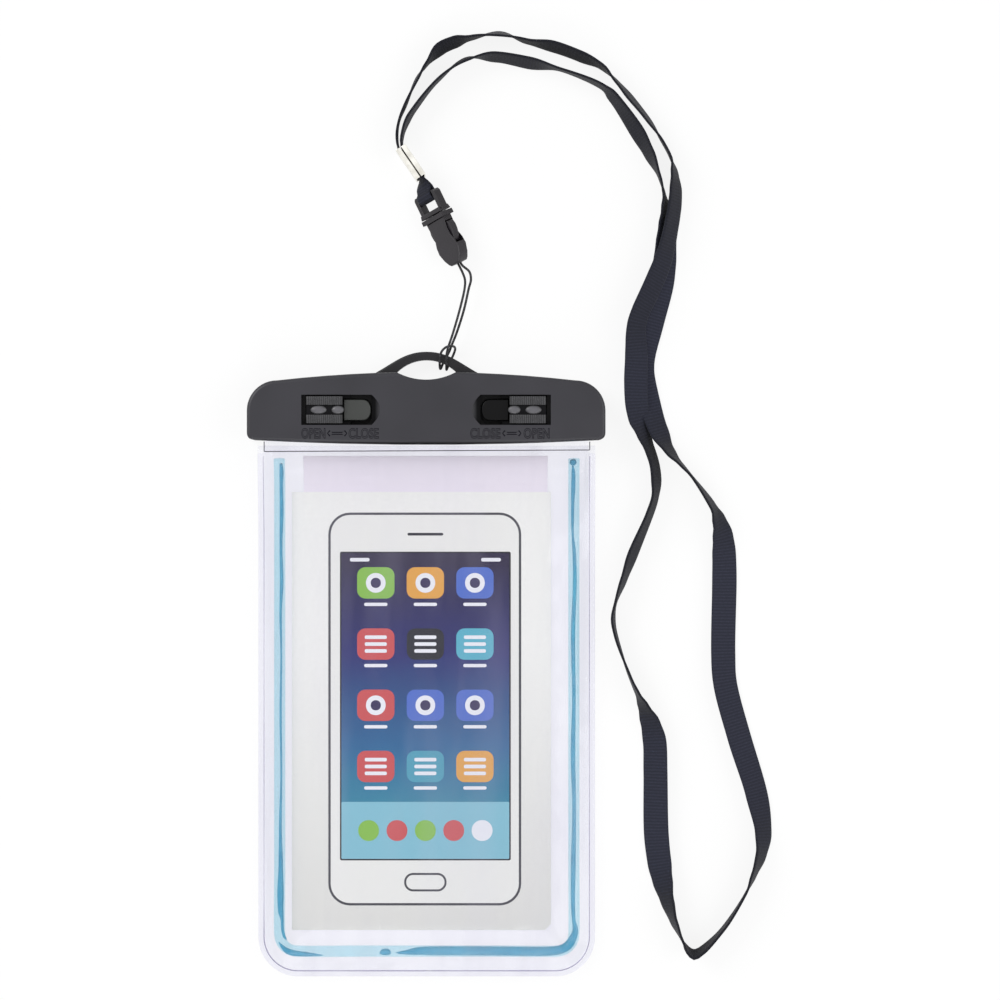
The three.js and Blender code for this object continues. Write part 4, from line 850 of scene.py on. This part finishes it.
# Screen tiles: one rounded field of ink repeated in a grid of columns and rows.
tiles = bpy.data.node_groups.new("tile grid", "GeometryNodeTree")
tiles.interface.new_socket("Tiles", in_out="OUTPUT", socket_type="NodeSocketGeometry")
tile_inputs = {}
for label, kind, value in (
    ("Columns", "NodeSocketInt", 3), ("Rows", "NodeSocketInt", 4), ("Pitch across", "NodeSocketFloat", 0.0166),
    ("Pitch along", "NodeSocketFloat", 0.0205), ("Tile width", "NodeSocketFloat", 0.0125),
    ("Tile height", "NodeSocketFloat", 0.0105), ("Corner", "NodeSocketFloat", 0.0028),
    ("Ink", "NodeSocketMaterial", None),
):
    made = tiles.interface.new_socket(label, in_out="INPUT", socket_type=kind)
    if value is not None:
        made.default_value = value
    tile_inputs[label] = made.identifier
given = add(tiles, "NodeGroupInput")
spans = []
for count, pitch in (("Columns", "Pitch across"), ("Rows", "Pitch along")):
    gaps = add(tiles, "Math", {0: given.outputs[count], 1: 1.0}, operation="SUBTRACT")
    spans.append(add(tiles, "Math", {0: gaps, 1: given.outputs[pitch]}, operation="MULTIPLY"))
grid = add(tiles, "GeometryNodeMeshGrid", {
    "Size X": spans[0], "Size Y": spans[1],
    "Vertices X": given.outputs["Columns"], "Vertices Y": given.outputs["Rows"],
})
outline = add(tiles, "GeometryNodeCurvePrimitiveQuadrilateral", {
    "Width": given.outputs["Tile width"], "Height": given.outputs["Tile height"],
})
corners = add(tiles, "GeometryNodeFilletCurve", {"Curve": outline, "Radius": given.outputs["Corner"], "Count": 6},
              mode="POLY")
filled = add(tiles, "GeometryNodeFillCurve", {"Curve": corners}, mode="NGONS")
thick = add(tiles, "GeometryNodeExtrudeMesh", {"Mesh": filled, "Offset Scale": 0.00002, "Individual": False})
under = add(tiles, "GeometryNodeFlipFaces", {"Mesh": filled})
closed = add(tiles, "GeometryNodeJoinGeometry", {"Geometry": thick})
feed(closed, {"Geometry": under})
welded = add(tiles, "GeometryNodeMergeByDistance", {"Geometry": closed, "Distance": 0.000001})
spread = add(tiles, "GeometryNodeInstanceOnPoints", {"Points": grid, "Instance": welded})
real = add(tiles, "GeometryNodeRealizeInstances", {"Geometry": spread})
inked = add(tiles, "GeometryNodeSetMaterial", {"Geometry": real, "Material": given.outputs["Ink"]})
add(tiles, "NodeGroupOutput", {"Tiles": inked})

# Tile ink: one even colour to a tile, taken by chance from a row of soft print colours.


def mixed_ink(name, across, along, shift, *tones):
    """Ink of one even colour in each cell of a grid, whose pitch and start are in metres and cells."""
    made, tree, shader = new_finish(name, Roughness=0.5, Specular_IOR_Level=0.15)
    place = own_place(tree)
    cell = add(tree, "VectorMath", {0: place, 1: (across, along, 1.0)}, operation="DIVIDE")
    cell = add(tree, "VectorMath", {0: cell, 1: (*shift, 0.0)}, operation="ADD")
    cell = add(tree, "VectorMath", {0: cell}, operation="FLOOR")
    pick = add(tree, "TexWhiteNoise", {"Vector": cell}, noise_dimensions="2D")
    tone = add(tree, "ValToRGB", {"Fac": pick.outputs["Value"]},
               stops=[(k / len(tones), colour) for k, colour in enumerate(tones)])
    tone.color_ramp.interpolation = "CONSTANT"
    feed(shader, {"Base Color": tone})
    return made


def tile_field(name, y, layer, ink, width, height, corner, **sizes):
    """The tile grid on a layer of the print, as a plain mesh. Each tile's size is in millimetres."""
    seed = show(bpy.data.objects.new(name, bpy.data.meshes.new(name)))
    maker = seed.modifiers.new("tiles", "NODES")
    maker.node_group = tiles
    tile = {"Tile_width": width * MM, "Tile_height": height * MM, "Corner": corner * MM, "Ink": ink}
    for label, value in (tile | sizes).items():
        maker[tile_inputs[label.replace("_", " ")]] = value
    made = evaluated(seed)
    seed.modifiers.clear()
    made.transform(Matrix.Translation(at(-0.5, y, CARD_TOP + layer * INK_LAYER)))
    seed.data = made
    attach(seed, "pouch")


TILES_Y = -77
TILE_PITCH = 20.5
tile_ink = mixed_ink("mixed tile inks", 0.0166, 0.0205, (0.53, 0.18), "#4fa3b8", "#e9a94c", "#8cc152", "#d05a5a",
                     "#5574c8", "#9a6fc0", "#2b2c33", "#5fb6c9")
mark_ink = printed("pale mark ink", (0.0, "#e9ebee"), (1.0, "#f3f4f6"))
deep_ink = printed("deep blue mark ink", (0.0, "#2d3f66"), (1.0, "#3a3358"))
strip_ink = printed("pale teal ink", (0.0, "#7db9c9"), (1.0, "#8cc6d4"))
tile_field("print_tiles", TILES_Y, 4, tile_ink, 12.5, 10.5, 2.8)
tile_field("print_captions", TILES_Y - 7.2, 4, mark_ink, 7.8, 1.1, 0.5)
tile_field("print_header", -38.5, 4, mark_ink, 6.6, 1.2, 0.55, Columns=2, Rows=1, Pitch_across=0.044)
for k, row in enumerate((TILES_Y + 1.5 * TILE_PITCH, TILES_Y - 0.5 * TILE_PITCH)):
    tile_field(f"print_discs_{k}", row, 5, mark_ink, 6.6, 6.6, 3.2, Rows=1)
    tile_field(f"print_hearts_{k}", row, 6, deep_ink, 3.4, 3.4, 1.6, Rows=1)
    tile_field(f"print_bars_{k}", row - TILE_PITCH, 5, mark_ink, 7.4, 1.2, 0.5, Rows=3, Pitch_along=0.0023)
ink("print_strip", rounded(-28.6, 27.6, -138.7, -119.6, 0.4), 4, strip_ink)
dot_ink = mixed_ink("mixed dot inks", 0.0095, 0.0205, (0.53, 0.2), "#f0f1f3", "#4a6fce", "#d05a5a", "#8cc152",
                    "#e9a94c")
tile_field("print_dots", -129.2, 5, dot_ink, 7, 7, 3.4, Columns=5, Rows=1, Pitch_across=0.0095)
ink("print_key_line", rounded(-7.6, 6.6, -149.6, -143.4, 3.0), 2, line_ink)
ink("print_key", rounded(-6.9, 5.9, -148.9, -144.1, 2.3), 3, case_ink)

# Gasket: a soft strip of black silicone foam, cut and glued in the back plate's groove.
foam = moulded("black silicone foam", "#2c2c2e", "#3c3c3f", 0.8, 0.25, 0.5)
refined("gasket_strip", "mouth_gasket", foam, "pouch", 0.1)

# Clamp: two dished shells and the two plates in them, moulded in black ABS with a fine satin
# surface. The front shell's scoops and its lower edge turn from the light; their shade is painted
# into its colour, near black and with less reflection.
satin_abs = moulded("black ABS, satin moulded", "#201f26", "#26252c", 0.46, 0.45, 0.14)
back_abs = moulded("black ABS, plain moulded", "#151418", "#1b1a1e", 0.42, 0.45, 0.14, Specular_IOR_Level=0.35)
inner_abs = moulded("black ABS, inner plates", "#0c0c0e", "#131316", 0.5, 0.5, 0.1, Specular_IOR_Level=0.25)
LOCK_HEIGHT = 11.4
front_abs = moulded("black ABS, satin moulded, with painted shade in recesses", "#201f26", "#26252c", 0.46, 0.45, 0.14)
tree = front_abs.node_tree
shader = tree.nodes["Principled BSDF"]
place = own_place(tree)
parts = add(tree, "SeparateXYZ", {"Vector": place})
# Painted shade: near black (#09090b) with less reflection in the scoops beside the windows and along the lower edge.
depth = add(tree, "MapRange", {"Value": parts.outputs["Z"], "From Min": 12.8 * MM, "From Max": 13.98 * MM,
                                         "To Min": 1.0, "To Max": 0.0})
beside = add(tree, "Math", {0: parts.outputs["X"], 1: 0.0, 2: 46 * MM}, operation="COMPARE")
level_with = add(tree, "Math", {0: parts.outputs["Y"], 1: (POUCH_Y + LOCK_HEIGHT) * MM, 2: 5.6 * MM},
                 operation="COMPARE")
window = add(tree, "Math", {0: beside, 1: level_with}, operation="MULTIPLY")
recess_painted_shade = add(tree, "Math", {0: depth, 1: window}, operation="MULTIPLY")
under = add(tree, "MapRange", {"Value": parts.outputs["Y"], "From Min": (POUCH_Y + 0.35) * MM,
                                         "From Max": (POUCH_Y + 1.0) * MM, "To Min": 1.0, "To Max": 0.0})
shade = add(tree, "Math", {0: recess_painted_shade, 1: under}, operation="MAXIMUM")
deep = add(tree, "Mix", {"Factor": shade, "A": shader.inputs["Base Color"].links[0].from_socket,
                                   "B": srgb("#09090b")}, data_type="RGBA")
gleam = add(tree, "MapRange", {"Value": shade, "To Min": 0.5, "To Max": 0.06})
feed(shader, {"Base Color": deep.outputs["Result"], "Specular IOR Level": gleam})
refined("shell_back", "back_shell", back_abs, "pouch", 0.25)
refined("plate_back", "back_plate", inner_abs, "pouch", 0.12)
refined("shell_front", "front_shell", front_abs, "front_clamp", 0.18)
refined("plate_front", "front_plate", inner_abs, "front_clamp", 0.1)

# Catches: two T-headed hooks in greenish black ABS, with their studs pressed into the back plate. Both
# are one material in two copies: the left one is painted lighter grey, a painted reflection, and the
# right one is kept near black and glossier.
lit_copy_catch_abs = moulded("greenish ABS, painted lighter with a reflection", "#303230", "#393b39", 0.42, 0.4, 0.1)
dark_copy_catch_abs = moulded("greenish black ABS, glossy, darker copy", "#0b0b0c", "#101011", 0.22, 0.6, 0.04,
                   Specular_IOR_Level=0.12)
refined("catch_at_left", "left_catch", lit_copy_catch_abs, "pouch", 0.18)
refined("catch_at_right", "right_catch", dark_copy_catch_abs, "pouch", 0.18)

# Slides: one moulding for each window in grey-black ABS, with its ribs and thumb groove. Its colour
# follows height: painted light on its two buttons and the tops of its ribs, and painted shade, darker
# and with less reflection, in the groove and between the ribs.
slide_abs_painted_light_and_shade, tree, shader = new_finish("grey-black ABS, with painted light and shade", Roughness=0.36, IOR=1.49)
place = own_place(tree)
parts = add(tree, "SeparateXYZ", {"Vector": place})
scuff = add(tree, "TexNoise", {"Vector": place, "Scale": 700.0, "Detail": 4.0})
uneven = add(tree, "Math", {0: scuff, 1: 0.00008, 2: parts.outputs["Z"]}, operation="MULTIPLY_ADD")
height = add(tree, "MapRange", {"Value": uneven, "From Min": 0.0136, "From Max": 0.0147})
# Painted light and shade by height: dark in the hollows, lighter on the tops.
ribs_painted_light_and_shade = add(tree, "ValToRGB", {"Fac": height}, stops=[
    (0.0, "#101012"), (0.7, "#161618"), (0.8, "#252527"), (0.95, "#454548"),
])
groove_painted_light_and_shade = add(tree, "ValToRGB", {"Fac": height}, stops=[
    (0.0, "#101012"), (0.16, "#161618"), (0.3, "#464648"), (0.8, "#5c5b60"),
])
across = add(tree, "Math", {0: parts.outputs["Y"], 1: (POUCH_Y + LOCK_HEIGHT) * MM, 2: 1.62 * MM},
             operation="COMPARE")
slide_painted_tone = add(tree, "Mix", {"Factor": across, "A": ribs_painted_light_and_shade, "B": groove_painted_light_and_shade},
             data_type="RGBA")
dull = add(tree, "MapRange", {"Value": scuff, "From Min": 0.3, "From Max": 0.7,
                                        "To Min": 0.26, "To Max": 0.46})
bump = add(tree, "Bump", {"Height": scuff, "Strength": 0.1, "Distance": 0.00005})
gleam = add(tree, "MapRange", {"Value": height, "From Min": 0.16, "From Max": 0.6,
                                         "To Min": 0.06, "To Max": 0.5})
feed(shader, {"Specular IOR Level": gleam, "Base Color": slide_painted_tone.outputs["Result"], "Roughness": dull, "Normal": bump})
refined("slide_at_left", "left_slide", slide_abs_painted_light_and_shade, "left_lock", 0.08)
refined("slide_at_right", "right_slide", slide_abs_painted_light_and_shade, "right_lock", 0.08)

# Words below the windows: OPEN, a two-way arrow and CLOSE, raised a little by the mould.
FACE = 14.0
WORD_Y = 3.6
WORD_HEIGHT = 3.1
WORD_RISE = 0.1
sunk_line_painted_shade = moulded("black ABS, sunk line in painted shade", "#0c0c13", "#12111a", 0.5, 0.5, 0.1, Specular_IOR_Level=0.06)


def word(name, text, x0, x1):
    """A moulded word, fitted between two ends on the front face: the letters stand up from a fine
    sunk line round them, coloured near black as painted shade."""
    shapes = []
    for offset, extrude, bevel in ((-0.016, 0.02, 0.006), (0.035, 0.01, 0.0)):
        letters = bpy.data.curves.new(name, "FONT")
        letters.body = text
        letters.extrude = extrude
        letters.bevel_depth = bevel
        letters.offset = offset
        letters.space_character = 1.06
        letters.resolution_u = 6
        shape = show(bpy.data.objects.new(name, letters))
        shapes.append(evaluated(shape))
        bpy.data.objects.remove(shape)
    xs = [v.co.x for v in shapes[0].vertices]
    ys = [v.co.y for v in shapes[0].vertices]
    for mesh, suffix, low, high, finish in (
        (shapes[0], "", -0.03, WORD_RISE, satin_abs), (shapes[1], "_line", -0.04, 0.02, sunk_line_painted_shade),
    ):
        zs = [v.co.z for v in mesh.vertices]
        for v in mesh.vertices:
            u, t, h = [(v.co[axis] - min(ends)) / (max(ends) - min(ends)) for axis, ends in enumerate((xs, ys, zs))]
            v.co = at(x0 + (x1 - x0) * u, WORD_Y + WORD_HEIGHT * (t - 0.5), FACE + low + (high - low) * h)
        mesh.materials.clear()
        mesh.materials.append(finish)
        made = show(bpy.data.objects.new(name + suffix, mesh))
        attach(made, "front_clamp")


def arrow(name, x0, x1):
    """A slim two-way arrow between two ends, raised within a sunk line as the words are."""
    for suffix, grow, low, high, finish in (
        ("", -0.12, -0.03, WORD_RISE, satin_abs), ("_line", 0.2, -0.04, 0.012, sunk_line_painted_shade),
    ):
        half, head, reach, root = 0.28 + grow, 0.85 + grow, 0.75, 1.9 * 0.75
        a, b = x0 - grow, x1 + grow
        line = [(a, 0), (a + reach, -head), (a + root, -half), (b - root, -half), (b - reach, -head),
                (b, 0), (b - reach, head), (b - root, half), (a + root, half), (a + reach, head)]
        line = [(x, WORD_Y + rise) for x, rise in line]
        made = prism(name + suffix, line, FACE + low, FACE + high, finish)
        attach(made, "front_clamp")


word("word_open_left", "OPEN", -41.2, -33.5)
arrow("arrow_left", -32.6, -26.3)
word("word_close_left", "CLOSE", -25.5, -15.8)
word("word_close_right", "CLOSE", 14.8, 24.5)
arrow("arrow_right", 25.4, 31.4)
word("word_open_right", "OPEN", 32.5, 40.8)

bpy.context.scene.view_settings.view_transform = "Standard"
